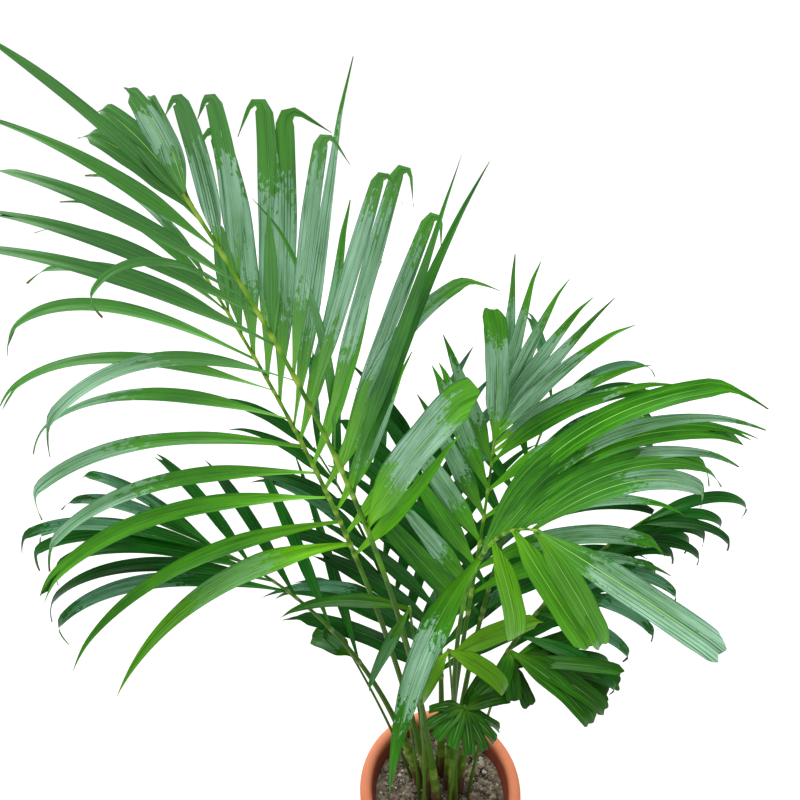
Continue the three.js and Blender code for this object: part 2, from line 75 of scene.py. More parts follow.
class Tone(Enum):
    """The colours a leaf takes: the lit copy, the copy darkened as painted shade, and the seedlings' own.
    """

    SUNLIT = "frond_leaf"
    SHADED = "shaded_leaf"
    SEEDLING = "seedling_leaf"


class Tip(Enum):
    """How a leaflet ends."""

    POINTED = "pointed"
    THREAD = "thread"
    CUT = "cut"
    CLEFT = "cleft"


# ---- the leaves ----
@dataclass(frozen=True)
class Spray:
    """A row of leaflets along one side of a stalk: values at the first and at the last."""

    count: int
    along: Pair
    heading: Pair
    rise: Pair
    fall: Pair
    length: Pair
    width: Pair
    roll: Pair
    swing: Pair = (0, 0)
    late: float = BLADE_BEND
    blunt: bool = False
    film: Triple = (0.25, 0.35, 0.8)  # painted pale sheen of the sky: how much, and where it starts and ends
    rib: float = 0.3  # how clearly their ribs show
    warm: float = 0.1  # how far their green turns to yellow
    tip: Tip | None = None


def single(along: float, heading: float, rise: float, fall: float, length: float, width: float,
           roll: float, swing: float = 0, **looks: float | Triple | Tip) -> Spray:
    """A spray of one leaflet.

    Args:
        along: Its place on the stalk, as a share of the stalk's length.
        heading: Degrees round from +X towards +Y.
        rise: Its slope in degrees where it leaves the stalk.
        fall: Its slope at its tip.
        length: Metres.
        width: Metres.
        roll: Degrees that its face turns about its own length.
        swing: How far its heading changes on the way to the tip.
        **looks: The spray's other values.

    Returns:
        The spray.
    """
    return Spray(1, along=(along, along), heading=(heading, heading), rise=(rise, rise),
                 fall=(fall, fall), length=(length, length), width=(width, width),
                 roll=(roll, roll), swing=(swing, swing), **looks)


@dataclass(frozen=True)
class Leaf:
    """One leaf: a stalk from its foot on the soil, and its sprays of leaflets."""

    name: str
    foot: Pair
    heading: float
    swing: float
    lean: Pair
    bend: float
    length: float
    tone: Tone
    sprays: tuple[Spray, ...]


LEAVES: tuple[Leaf, ...] = (
    Leaf(
        "frond_left", foot=(-0.014, 0.0), heading=182, swing=0, lean=(8, 23),
        bend=1.6, length=0.905, tone=Tone.SUNLIT,
        sprays=(
            single(along=0.62, heading=199, swing=40, rise=10, fall=-44, length=0.29, width=0.026,
                   roll=30, late=2.2, film=(0.1, 0.3, 0.6), rib=0.5, warm=0.6),
            Spray(7, along=(0.66, 0.9), heading=(200, 182), swing=(20, 0), rise=(8, 30),
                  fall=(-53, -60), length=(0.322, 0.262), width=(0.018, 0.012), roll=(30, 26), late=2.2,
                  film=(0.3, 0.55, 0.95), warm=0.2),
            Spray(4, along=(0.94, 0.995), heading=(182, 188), rise=(40, 66), fall=(-20, 30),
                  length=(0.19, 0.13), width=(0.011, 0.009), roll=(30, 40), film=(0.3, 0.4, 0.9)),
            Spray(6, along=(0.6, 0.79), heading=(8, 4), rise=(52, 74), fall=(62, 80),
                  length=(0.2, 0.24), width=(0.019, 0.017), roll=(-50, -60), film=(0.5, 0.35, 0.75),
                  tip=Tip.POINTED, warm=0.35),
            single(along=0.808, heading=-5, rise=78, fall=79, length=0.34, width=0.017, roll=-70,
                   film=(1.0, 0.3, 0.85), tip=Tip.POINTED, warm=0.3),
            Spray(3, along=(0.844, 0.905), heading=(-2, 16), rise=(82, 87), fall=(82, 104),
                  length=(0.298, 0.236), width=(0.02, 0.019), roll=(-76, -80), late=2.2,
                  film=(1.0, 0.3, 0.68), tip=Tip.THREAD, warm=0.3),
            Spray(2, along=(0.93, 0.955), heading=(10, 10), rise=(88, 90), fall=(96, 100),
                  length=(0.12, 0.09), width=(0.014, 0.011), roll=(-70, -70), film=(0.2, 0.4, 0.7)),
        ),
    ),
    Leaf(
        "frond_front_left", foot=(-0.004, -0.016), heading=210, swing=6, lean=(6, 24),
        bend=1.6, length=1.02, tone=Tone.SUNLIT,
        sprays=(
            Spray(5, along=(0.87, 0.98), heading=(190, 174), rise=(36, 50), fall=(0, 26),
                  length=(0.215, 0.155), width=(0.011, 0.01), roll=(42, 42), film=(0.35, 0.3, 0.8),
                  rib=0.4, warm=0.15),
            single(along=0.833, heading=200, swing=40, rise=32, fall=-50, length=0.214, width=0.012,
                   roll=20, late=2.2, film=(0.6, 0.5, 0.95), tip=Tip.THREAD),
            single(along=0.905, heading=194, swing=24, rise=48, fall=-88, length=0.14, width=0.006,
                   roll=30, late=2.2, film=(0.3, 0.5, 0.9), tip=Tip.THREAD),
            Spray(4, along=(0.984, 1), heading=(176, 150), swing=(-10, -30), rise=(52, 84),
                  fall=(10, 20), length=(0.088, 0.07), width=(0.015, 0.014), roll=(50, 60),
                  film=(0.25, 0.3, 0.7), rib=1.0, tip=Tip.THREAD),
            Spray(2, along=(0.93, 0.955), heading=(4, 16), rise=(86, 96), fall=(104, 108),
                  length=(0.128, 0.108), width=(0.014, 0.013), roll=(-78, -80), late=2.2,
                  film=(1.0, 0.12, 0.62), tip=Tip.THREAD, warm=0.3),
            single(along=0.88, heading=2, rise=84, fall=88, length=0.104, width=0.011, roll=-78,
                   film=(0.2, 0.4, 0.7), tip=Tip.POINTED),
            Spray(4, along=(0.735, 0.84), heading=(16, 4), rise=(68, 78), fall=(72, 72),
                  length=(0.266, 0.204), width=(0.013, 0.012), roll=(-74, -78), late=2.2,
                  film=(1.0, 0.3, 0.78), rib=0.4, tip=Tip.THREAD, warm=0.35),
            Spray(2, along=(0.69, 0.71), heading=(-6, -12), rise=(74, 74), fall=(71, 79),
                  length=(0.324, 0.31), width=(0.014, 0.013), roll=(-72, -66), film=(0.0, 0.3, 0.85),
                  tip=Tip.POINTED, warm=0.0),
            single(along=0.725, heading=10, swing=-10, rise=74, fall=16, length=0.236, width=0.014,
                   roll=-70, late=2.2, film=(0.7, 0.35, 0.8), tip=Tip.THREAD, warm=0.5),
            single(along=0.64, heading=-30, rise=68, fall=52, length=0.224, width=0.038, roll=-58,
                   blunt=True, film=(1.0, 0.36, 0.82), rib=0.5, warm=0.5),
            single(along=0.745, heading=180, rise=93, fall=60, length=0.232, width=0.008, roll=70,
                   film=(0.0, 0.4, 0.7), tip=Tip.POINTED),
        ),
    ),
    Leaf(
        "frond_low_left", foot=(-0.03, 0.014), heading=165, swing=27, lean=(12, 46),
        bend=1.6, length=0.6, tone=Tone.SHADED,
        sprays=(
            Spray(5, along=(0.8, 0.97), heading=(186, 180), swing=(10, 0), rise=(24, 30),
                  fall=(-76, -52), length=(0.318, 0.268), width=(0.018, 0.015), roll=(22, 30), late=2.2,
                  film=(0.3, 0.4, 0.8), tip=Tip.THREAD),
            Spray(3, along=(0.965, 1), heading=(177, 164), rise=(26, 42), fall=(-50, -24),
                  length=(0.24, 0.19), width=(0.015, 0.013), roll=(28, 40), late=2.2,
                  film=(0.2, 0.4, 0.8), rib=0.6, tip=Tip.THREAD),
            Spray(4, along=(0.52, 0.9), heading=(118, 140), rise=(52, 46), fall=(24, 10),
                  length=(0.29, 0.19), width=(0.018, 0.014), roll=(34, 34), film=(0.15, 0.4, 0.8)),
        ),
    ),
    Leaf(
        "frond_centre", foot=(0.014, 0.01), heading=45, swing=36, lean=(-3, 41),
        bend=1.6, length=0.675, tone=Tone.SUNLIT,
        sprays=(
            Spray(8, along=(0.9, 0.99), heading=(-10, 16), rise=(46, 86), fall=(12, 92),
                  length=(0.228, 0.192), width=(0.02, 0.017), roll=(-62, -84), film=(1.0, 0.12, 0.70),
                  rib=0.5, warm=0.35, tip=Tip.POINTED),
            single(along=0.92, heading=170, rise=89, fall=80, length=0.19, width=0.027, roll=80,
                   blunt=True, film=(1.0, 0.2, 0.75), rib=0.5, warm=0.2),
            Spray(7, along=(0.58, 0.88), heading=(174, 168), rise=(54, 70), fall=(54, 68),
                  length=(0.2, 0.186), width=(0.027, 0.023), roll=(62, 70), film=(0.45, 0.35, 0.8)),
            Spray(6, along=(0.62, 0.88), heading=(-4, -8), rise=(44, 54), fall=(-40, 0),
                  length=(0.27, 0.24), width=(0.023, 0.021), roll=(-40, -52), film=(0.4, 0.35, 0.8)),
        ),
    ),
    Leaf(
        "frond_front_right", foot=(0.02, -0.012), heading=-40, swing=-27, lean=(-3, 57),
        bend=4, length=0.707, tone=Tone.SUNLIT,
        sprays=(
            Spray(8, along=(0.785, 0.985), heading=(-12, 8), rise=(79, 47), fall=(-5, -54),
                  length=(0.36, 0.19), width=(0.0224, 0.0194), roll=(-48, -40), film=(0.5, 0.5, 0.95),
                  rib=1.0, warm=0.0),
            single(along=0.79, heading=228, swing=30, rise=-14, fall=-64, length=0.258, width=0.032,
                   roll=24, film=(1.0, 0.36, 0.68), rib=0.3, tip=Tip.POINTED),
            single(along=0.853, heading=-62, rise=-46, fall=-84, length=0.116, width=0.027, roll=0,
                   blunt=True, film=(0.0, 0.5, 0.6), rib=0.8, warm=1.0),
            Spray(2, along=(0.93, 0.99), heading=(-52, -34), rise=(-34, -48), fall=(-28, -54),
                  length=(0.132, 0.142), width=(0.028, 0.028), roll=(-10, -20), blunt=True,
                  film=(0.0, 0.5, 0.6), rib=0.8, warm=0.6),
            single(along=1, heading=-38, rise=-8, fall=-14, length=0.182, width=0.027, roll=-30,
                   blunt=True, film=(1.0, 0.3, 1.1), rib=0.9),
        ),
    ),
    Leaf(
        "frond_back", foot=(0.002, 0.03), heading=100, swing=0, lean=(2, 52),
        bend=1.6, length=0.56, tone=Tone.SHADED,
        sprays=(
            Spray(10, along=(0.4, 0.98), heading=(176, 150), rise=(46, 60), fall=(10, 30),
                  length=(0.25, 0.175), width=(0.025, 0.019), roll=(60, 60), film=(0.3, 0.4, 0.9)),
            Spray(10, along=(0.42, 0.99), heading=(10, 44), rise=(46, 62), fall=(0, 30),
                  length=(0.25, 0.175), width=(0.025, 0.019), roll=(-60, -60), film=(0.3, 0.4, 0.9)),
        ),
    ),
    Leaf(
        "frond_right", foot=(0.03, 0.008), heading=20, swing=-10, lean=(2, 54),
        bend=1.6, length=0.6, tone=Tone.SHADED,
        sprays=(
            Spray(9, along=(0.55, 0.97), heading=(12, 4), rise=(48, 34), fall=(-60, -86),
                  length=(0.2, 0.16), width=(0.018, 0.014), roll=(-40, -30), late=2.2,
                  film=(0.3, 0.4, 0.8), tip=Tip.THREAD),
            Spray(6, along=(0.6, 0.97), heading=(-30, -14), rise=(12, 18), fall=(-66, -80),
                  length=(0.15, 0.125), width=(0.017, 0.014), roll=(-24, -20), late=2.2,
                  film=(0.2, 0.4, 0.8), tip=Tip.THREAD),
        ),
    ),
    Leaf(
        "frond_back_right", foot=(0.022, 0.03), heading=58, swing=0, lean=(3, 56),
        bend=1.6, length=0.66, tone=Tone.SHADED,
        sprays=(
            Spray(8, along=(0.5, 0.98), heading=(150, 100), rise=(56, 50), fall=(20, -10),
                  length=(0.21, 0.17), width=(0.021, 0.016), roll=(50, 50)),
            Spray(9, along=(0.52, 0.99), heading=(-20, 20), rise=(44, 36), fall=(-20, -60),
                  length=(0.24, 0.18), width=(0.02, 0.015), roll=(-44, -30), late=2),
        ),
    ),
    Leaf(
        "frond_back_left", foot=(-0.018, 0.028), heading=132, swing=0, lean=(5, 58),
        bend=1.6, length=0.6, tone=Tone.SHADED,
        sprays=(
            Spray(7, along=(0.5, 0.97), heading=(196, 170), rise=(46, 48), fall=(-30, 0),
                  length=(0.22, 0.17), width=(0.02, 0.015), roll=(30, 40)),
            Spray(8, along=(0.42, 0.98), heading=(60, 100), rise=(46, 50), fall=(-10, 20),
                  length=(0.21, 0.16), width=(0.02, 0.015), roll=(-40, -40)),
        ),
    ),
    Leaf(
        "seedling_fan", foot=(0.012, -0.036), heading=-80, swing=0, lean=(0, 10),
        bend=1, length=0.34, tone=Tone.SEEDLING,
        sprays=(
            Spray(8, along=(0.955, 1), heading=(-10, -190), rise=(-16, -4), fall=(-54, -46),
                  length=(0.055, 0.052), width=(0.015, 0.015), roll=(0, 0), blunt=True,
                  film=(0.1, 0.4, 0.9), rib=1.0),
            Spray(3, along=(0.9, 0.96), heading=(60, 20), rise=(30, 10), fall=(-20, -30),
                  length=(0.062, 0.068), width=(0.017, 0.017), roll=(-10, -10), blunt=True,
                  film=(0.1, 0.4, 0.9), rib=0.5),
        ),
    ),
    Leaf(
        "seedling_right", foot=(0.044, -0.006), heading=0, swing=0, lean=(2, 9),
        bend=1, length=0.368, tone=Tone.SEEDLING,
        sprays=(
            Spray(6, along=(0.92, 1), heading=(18, -36), rise=(8, -10), fall=(-30, -46),
                  length=(0.156, 0.14), width=(0.028, 0.028), roll=(-14, -14), blunt=True,
                  film=(0.0, 0.4, 0.9), rib=0.6),
            Spray(3, along=(0.86, 0.93), heading=(56, 28), rise=(30, 20), fall=(4, 0),
                  length=(0.13, 0.156), width=(0.02, 0.018), roll=(-10, -10), blunt=True,
                  film=(0.0, 0.4, 0.9)),
            Spray(3, along=(0.93, 0.99), heading=(-60, -110), rise=(-10, -20), fall=(-60, -60),
                  length=(0.062, 0.05), width=(0.02, 0.02), roll=(0, 0), blunt=True,
                  film=(0.0, 0.4, 0.9)),
        ),
    ),
    Leaf(
        "seedling_forked", foot=(0.024, -0.024), heading=190, swing=0, lean=(2, 6),
        bend=1, length=0.4, tone=Tone.SEEDLING,
        sprays=(
            single(along=0.99, heading=-24, rise=-4, fall=-64, length=0.092, width=0.024, roll=-20,
                   blunt=True, film=(0.0, 0.4, 0.9), warm=1.0),
            single(along=1, heading=225, rise=-30, fall=-84, length=0.078, width=0.022, roll=0,
                   film=(0.0, 0.4, 0.9), warm=0.8),
            single(along=0.96, heading=12, rise=30, fall=0, length=0.13, width=0.024, roll=-30,
                   film=(0.0, 0.4, 0.9), warm=1.0),
        ),
    ),
    Leaf(
        "seedling_left", foot=(-0.044, 0.024), heading=176, swing=0, lean=(12, 19),
        bend=1, length=0.325, tone=Tone.SEEDLING,
        sprays=(
            Spray(2, along=(0.97, 1), heading=(120, 160), rise=(30, 50), fall=(-10, 20),
                  length=(0.064, 0.05), width=(0.024, 0.02), roll=(20, 20), blunt=True),
        ),
    ),
    Leaf(
        "seedling_small", foot=(-0.032, -0.014), heading=186, swing=0, lean=(2, 9),
        bend=1, length=0.3, tone=Tone.SEEDLING,
        sprays=(
            Spray(2, along=(0.97, 1), heading=(40, 80), rise=(50, -20), fall=(10, -70),
                  length=(0.066, 0.06), width=(0.02, 0.02), roll=(-20, -20), blunt=True),
        ),
    ),
    Leaf(
        "seedling_tall", foot=(-0.026, -0.042), heading=190, swing=0, lean=(0, 6),
        bend=1, length=0.5, tone=Tone.SEEDLING,
        sprays=(
            single(along=0.99, heading=184, swing=10, rise=10, fall=-40, length=0.158, width=0.018,
                   roll=20, film=(0.5, 0.3, 0.8), tip=Tip.POINTED),
            single(along=1, heading=240, swing=-20, rise=-20, fall=-80, length=0.11, width=0.015,
                   roll=14, film=(0.3, 0.3, 0.8), tip=Tip.POINTED),
        ),
    ),
)


# ---- directions, curves and repeatable chance ----
def lerp(pair: Pair, share: float) -> float:
    """The value at a share of the way from the first of a pair to the second."""
    return pair[0] + (pair[1] - pair[0]) * share


def jitter(a: float, b: float) -> float:
    """A repeatable number from -1 to 1 for a pair of counts."""
    wave = math.sin(a * 12.9898 + b * 78.233) * 43758.5453
    return (wave - math.floor(wave)) * 2 - 1


def ease(low: float, high: float, value: float | np.ndarray) -> np.ndarray:
    """A smooth step from 0 at low to 1 at high, for a number or an array."""
    share = np.clip((value - low) / (high - low), 0, 1)
    return share * share * (3 - 2 * share)


def direction(heading: float, slope: float) -> np.ndarray:
    """The unit vector at a heading and a slope above the horizontal.

    Args:
        heading: Degrees round from +X towards +Y.
        slope: Degrees above the horizontal.

    Returns:
        Three numbers of length 1.
    """
    turn, tilt = math.radians(heading), math.radians(slope)
    level = math.cos(tilt)
    return np.array([level * math.cos(turn), level * math.sin(turn), math.sin(tilt)])


def point_at(points: np.ndarray, share: float) -> np.ndarray:
    """The point at a share of the way along a row of evenly spaced points.

    Args:
        points: The row of points.
        share: 0 at the first of them and 1 at the last.

    Returns:
        The point between the two nearest ones.
    """
    place = share * (len(points) - 1)
    i = min(int(place), len(points) - 2)
    return points[i] + (points[i + 1] - points[i]) * (place - i)


def points_at(points: np.ndarray, shares: np.ndarray) -> np.ndarray:
    """The points at an array of shares along a row of evenly spaced points.

    Args:
        points: The row of points.
        shares: 0 at the first of them and 1 at the last, held within those.

    Returns:
        A point for each share, in the layout of the shares.
    """
    place = np.clip(shares, 0, 1) * (len(points) - 1)
    i = np.minimum(place.astype(int), len(points) - 2)
    return points[i] + (points[i + 1] - points[i]) * (place - i)[..., None]


# ---- meshes ----
class Draft:
    """The points, faces and point values of one piece before it becomes an object.

    Each point carries four triples for the finishes to read: place, span, mood and the painted sheen.
    """

    def __init__(self) -> None:
        """Starts with no points."""
        self.points: list[np.ndarray] = []
        self.places: list[np.ndarray] = []
        self.spans: list[np.ndarray] = []
        self.moods: list[np.ndarray] = []
        self.films: list[np.ndarray] = []
        self.faces: list[tuple[int, ...]] = []
        self.count = 0

    def skin(self, rings: np.ndarray, place: np.ndarray, span: np.ndarray,
             mood: Triple = (0, 0, 0), film: Triple = (0, 0, 0)) -> None:
        """Adds a closed skin through rings of points, with a face over each end.

        Args:
            rings: Points, by ring, by place round the ring, by axis.
            place: A triple for each point, in the same layout.
            span: A second triple for each point.
            mood: One triple for the whole skin.
            film: A second triple for the whole skin, which places its painted sheen.
        """
        rows, around = rings.shape[:2]
        first = self.count
        self.points.append(rings.reshape(-1, 3))
        self.places.append(place.reshape(-1, 3))
        self.spans.append(span.reshape(-1, 3))
        self.moods.append(np.tile(np.array(mood, float), (rows * around, 1)))
        self.films.append(np.tile(np.array(film, float), (rows * around, 1)))
        for r in range(rows - 1):
            for k in range(around):
                a = first + r * around + k
                b = first + r * around + (k + 1) % around
                self.faces.append((a, b, b + around, a + around))
        last = first + (rows - 1) * around
        self.faces.append(tuple(first + k for k in reversed(range(around))))
        self.faces.append(tuple(last + k for k in range(around)))
        self.count += rows * around

    def solid(self, points: np.ndarray, faces: list[tuple[int, ...]], place: Triple,
              span: np.ndarray) -> None:
        """Adds a closed solid given by its own points and faces.

        Args:
            points: The solid's points.
            faces: Its faces, as indices into those points.
            place: One triple for the whole solid.
            span: A triple for each point.
        """
        self.points.append(points)
        self.places.append(np.tile(np.array(place, float), (len(points), 1)))
        self.spans.append(span)
        self.moods.append(np.zeros_like(points))
        self.films.append(np.zeros_like(points))
        self.faces.extend(tuple(self.count + i for i in face) for face in faces)
        self.count += len(points)

    def piece(self, name: str, finish: bpy.types.Material, slot: str,
              sharp: float = 40) -> bpy.types.Object:
        """Makes the object, faces outwards, and ties it to the part's body.

        Args:
            name: The piece's name.
            finish: Its material.
            slot: The record's material slot; not used.
            sharp: Edges that turn by more than these degrees shade as creases.

        Returns:
            The new object.
        """
        mesh = bpy.data.meshes.new(name)
        mesh.from_pydata(np.concatenate(self.points).tolist(), [], self.faces)
        values = {"place": self.places, "span": self.spans, "mood": self.moods,
                  "film": self.films}
        for label, rows in values.items():
            layer = mesh.attributes.new(label, "FLOAT_VECTOR", "POINT")
            layer.data.foreach_set("vector", np.concatenate(rows).astype(np.float32).ravel())
        shape = bmesh.new()
        shape.from_mesh(mesh)
        bmesh.ops.recalc_face_normals(shape, faces=shape.faces)
        shape.to_mesh(mesh)
        shape.free()
        mesh.shade_smooth()
        mesh.set_sharp_from_angle(angle=math.radians(sharp))
        mesh.materials.append(finish)
        piece = bpy.data.objects.new(name, mesh)
        bpy.context.scene.collection.objects.link(piece)
        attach(piece, "root")
        LOG.info("%s: %d points, %d faces", name, len(mesh.vertices), len(mesh.polygons))
        return piece


# ---- finishes ----
class Palette:
    """Short ways to add and join the nodes of one material."""

    def __init__(self, name: str) -> None:
        """Starts a material that holds one Principled shader and its output.

        Args:
            name: The material's name.
        """
        self.material = bpy.data.materials.new(name)
        self.material.use_nodes = True
        self.tree = self.material.node_tree
        self.tree.nodes.clear()
        self.shader = self.tree.nodes.new("ShaderNodeBsdfPrincipled")
        output = self.tree.nodes.new("ShaderNodeOutputMaterial")
        self.tree.links.new(self.shader.outputs["BSDF"], output.inputs["Surface"])

    def node(self, kind: str, inputs: dict[str | int, object], **settings: object) -> bpy.types.Node:
        """Adds a node.

        Args:
            kind: The node's type.
            inputs: Socket name or number to a value or to another node's socket.
            **settings: The node's own settings.

        Returns:
            The node.
        """
        node = self.tree.nodes.new(kind)
        for label, value in settings.items():
            setattr(node, label, value)
        for label, value in inputs.items():
            self.feed(node.inputs[label], value)
        return node

    def feed(self, socket: Socket, value: object) -> None:
        """Gives a socket a value, a colour or another node's socket.

        Args:
            socket: The socket that is set or joined.
            value: What it gets.
        """
        if isinstance(value, Socket):
            self.tree.links.new(value, socket)
        elif isinstance(value, tuple) and socket.type == "RGBA":
            socket.default_value = (*value, 1.0)
        else:
            socket.default_value = value

    def parts(self, label: str) -> list[Socket]:
        """The three numbers of a point value.

        Args:
            label: The value's name: place, span, mood or film.

        Returns:
            A socket for each number.
        """
        read = self.node("ShaderNodeAttribute", {}, attribute_name=label)
        split = self.node("ShaderNodeSeparateXYZ", {0: read.outputs["Vector"]})
        return list(split.outputs)

    def math(self, what: str, a: Value, b: Value = 0.0, clamp: bool = False) -> Socket:
        """A sum of two numbers or sockets by one of the Math node's ways."""
        node = self.node("ShaderNodeMath", {0: a, 1: b}, operation=what, use_clamp=clamp)
        return node.outputs[0]

    def step(self, value: Socket, low: float, high: float) -> Socket:
        """A smooth step from 0 at low to 1 at high, or falling where low is above high."""
        node = self.node("ShaderNodeMapRange",
                         {"Value": value, "From Min": low, "From Max": high},
                         interpolation_type="SMOOTHSTEP")
        return node.outputs[0]

    def scale(self, value: Socket, low: float, high: float) -> Socket:
        """A number from 0 to 1 spread between low and high."""
        node = self.node("ShaderNodeMapRange",
                         {"Value": value, "To Min": low, "To Max": high})
        return node.outputs[0]

    def vector(self, x: Value, y: Value, z: Value) -> Socket:
        """Three numbers or sockets as one vector."""
        return self.node("ShaderNodeCombineXYZ", {0: x, 1: y, 2: z}).outputs[0]

    def object_place(self, scale: float) -> Socket:
        """The object's own coordinates, in units of 1/scale metres.

        Args:
            scale: How many of the units a metre has.

        Returns:
            The vector's socket.
        """
        place = self.node("ShaderNodeTexCoord", {}).outputs["Object"]
        mapping = self.node("ShaderNodeMapping", {"Vector": place, "Scale": (scale,) * 3})
        return mapping.outputs[0]

    def noise(self, place: Socket, scale: float, detail: float = 3.0,
              rough: float = 0.55) -> Socket:
        """Soft random patches from 0 to 1 over a vector."""
        node = self.node("ShaderNodeTexNoise", {"Vector": place, "Scale": scale,
                                                "Detail": detail, "Roughness": rough})
        return node.outputs[0]

    def cells(self, place: Socket, scale: float) -> Socket:
        """The distance to the nearest of many scattered points."""
        return self.node("ShaderNodeTexVoronoi", {"Vector": place, "Scale": scale}).outputs[0]

    def blend(self, share: Value, first: Paint, second: Paint, how: str = "MIX") -> Socket:
        """Two colours mixed by a share.

        Args:
            share: How much of the second shows, as a number or a socket.
            first: A colour or a socket.
            second: A colour or a socket.
            how: One of the Mix node's ways.

        Returns:
            The mixed colour's socket.
        """
        node = self.node("ShaderNodeMix", {}, data_type="RGBA", blend_type=how)
        self.feed(node.inputs[0], share)
        self.feed(node.inputs[6], first)
        self.feed(node.inputs[7], second)
        return node.outputs[2]

    def relief(self, height: Socket, depth: float, strength: float = 1.0) -> None:
        """Puts a bump of a given depth in metres on the shader."""
        bump = self.node("ShaderNodeBump", {"Height": height, "Distance": depth,
                                            "Strength": strength})
        self.feed(self.shader.inputs["Normal"], bump.outputs[0])

    def finish(self, colour: Socket, roughness: Value, **constant: float) -> bpy.types.Material:
        """Joins colour and roughness to the shader and returns the material.

        Args:
            colour: The base colour's socket.
            roughness: A number or a socket.
            **constant: Plain values for the shader, with _ for the spaces in their names.

        Returns:
            The material.
        """
        self.feed(self.shader.inputs["Base Color"], colour)
        self.feed(self.shader.inputs["Roughness"], roughness)
        for label, value in constant.items():
            self.feed(self.shader.inputs[label.replace("_", " ")], value)
        return self.material


@dataclass(frozen=True)
class BladeFinish:
    """A leaflet's skin: glossy green with pale ribs, a painted pale sheen, painted shade along the fold
    and dry tips.

    place is (across -1 to 1, along 0 to 1, chance of the leaflet), span is (metres across,
    metres along, how dry the leaflet's end is), mood is (ribs, painted grey sheen, how far the
    green turns to yellow) and film is (how much painted sheen, where it starts, where it ends).
    """

    name: str
    deep: Colour
    fresh: Colour
    base: Colour
    film: Colour
    grey_sheen: Colour
    rib: Colour
    dry: Colour = (0.20, 0.12, 0.055)
    speck: Colour = (0.02, 0.03, 0.005)
    gloss: float = 0.34
    gloss_play: float = 0.08
    streaks: Pair = (900.0, 12.0)  # each grain's cycles per metre across and along
    threads: Pair = (1500.0, 7.0)
    patches: Pair = (60.0, 14.0)
    blots: Pair = (300.0, 130.0)
    specks: Pair = (260.0, 150.0)
    side_rib: float = 0.52  # where between the midrib and the edge the second rib lies
    veins: float = 5200.0  # radians per metre across
    vein_depth: float = 0.00012
    film_strips: float = 2.9  # strips from the midrib to the margin that the painted sheen ends by

    def build(self) -> bpy.types.Material:
        """Makes the material.

        Returns:
            The material.
        """
        p = Palette(self.name)
        across, along, chance = p.parts("place")
        wide, far, dryness = p.parts("span")
        rib_share, grey_sheen_share, warmth = p.parts("mood")
        shift = p.math("MULTIPLY", chance, 37.0)
        side = p.math("ABSOLUTE", across)
        streaks = self.grain(p, wide, far, shift, self.streaks, 4.0)
        threads = self.grain(p, wide, far, shift, self.threads, 2.0)
        patches = self.grain(p, wide, far, shift, self.patches, 3.0)
        blots = self.grain(p, wide, far, shift, self.blots, 3.0)
        tone = p.math("ADD", p.math("MULTIPLY", chance, 0.55),
                      p.scale(patches, -0.75, 1.05), clamp=True)
        colour = p.blend(tone, self.deep, self.fresh)
        colour = p.blend(p.math("MULTIPLY", warmth, 0.6), colour, self.base)
        growth = p.math("ADD", p.math("MULTIPLY", warmth, 2.0), 0.15, clamp=True)
        colour = p.blend(p.math("MULTIPLY", p.step(along, 0.38, 0.02), growth), colour, self.base)
        lines = p.math("MULTIPLY", p.step(streaks, 0.53, 0.62), 0.55)
        colour = p.blend(lines, colour, self.deep)
        # Painted grey sheen: higher leaflets are paler and greyer, as the sky's light falls on them.
        colour = p.blend(p.math("MULTIPLY", grey_sheen_share, 0.55), colour, self.grey_sheen)
        # Painted sheen: a pale reflection of the sky painted into the colour, spray by spray.
        film = self.film_mask(p, across, along, chance, blots)
        # The painted sheen's colour runs from the painted grey sheen to the pale one, broken by dark
        # streaks.
        light = p.math("ADD", p.scale(patches, -0.7, 1.3), p.scale(streaks, 0.1, 0.3), clamp=True)
        salt_and_sheen = p.blend(light, self.grey_sheen, self.film)
        dark = p.math("MAXIMUM", p.step(threads, 0.56, 0.60), p.step(streaks, 0.60, 0.66))
        salt_and_sheen = p.blend(p.math("MULTIPLY", dark, 0.8), salt_and_sheen, self.deep)
        colour = p.blend(film, colour, salt_and_sheen)
        midrib = p.math("MULTIPLY", p.step(side, 0.055, 0.015), p.step(along, 0.98, 0.6))
        colour = p.blend(p.math("MULTIPLY", midrib, rib_share), colour, self.rib)
        second = p.math("ABSOLUTE", p.math("SUBTRACT", side, self.side_rib))
        faint = p.math("MULTIPLY", p.step(second, 0.035, 0.005), rib_share)
        colour = p.blend(p.math("MULTIPLY", faint, 0.45), colour, self.rib)
        # Painted shade: darker on both sides of the midrib, in the crease of the fold.
        painted_crease_shade = p.math("MULTIPLY", p.step(side, 0.12, 0.05), p.math("SUBTRACT", 0.5, midrib))
        colour = p.blend(p.math("MAXIMUM", painted_crease_shade, 0.0), colour, self.deep)
        rim = p.math("MULTIPLY", p.step(side, 0.90, 0.97), 0.5)
        colour = p.blend(rim, colour, self.deep)
        spots = p.cells(p.vector(p.math("MULTIPLY", wide, self.specks[0]),
                                 p.math("MULTIPLY", far, self.specks[1]), shift), 1.0)
        specks = p.math("MULTIPLY", p.step(spots, 0.10, 0.05), 0.4)
        colour = p.blend(specks, colour, self.speck)
        ragged = p.math("ADD", along, p.scale(streaks, -0.05, 0.05))
        tip = p.math("MULTIPLY", p.step(ragged, 0.965, 0.995), dryness, clamp=True)
        colour = p.blend(tip, colour, self.dry)
        veins = p.math("SINE", p.math("MULTIPLY", wide, self.veins))
        p.relief(p.math("ADD", p.math("MULTIPLY", veins, 0.25), streaks), self.vein_depth, 0.6)
        rough = p.math("ADD", p.scale(patches, self.gloss - self.gloss_play, self.gloss + self.gloss_play),
                       p.math("MULTIPLY", film, 0.10))
        return p.finish(colour, p.math("ADD", rough, p.math("MULTIPLY", tip, 0.3)),
                        Specular_IOR_Level=0.17)

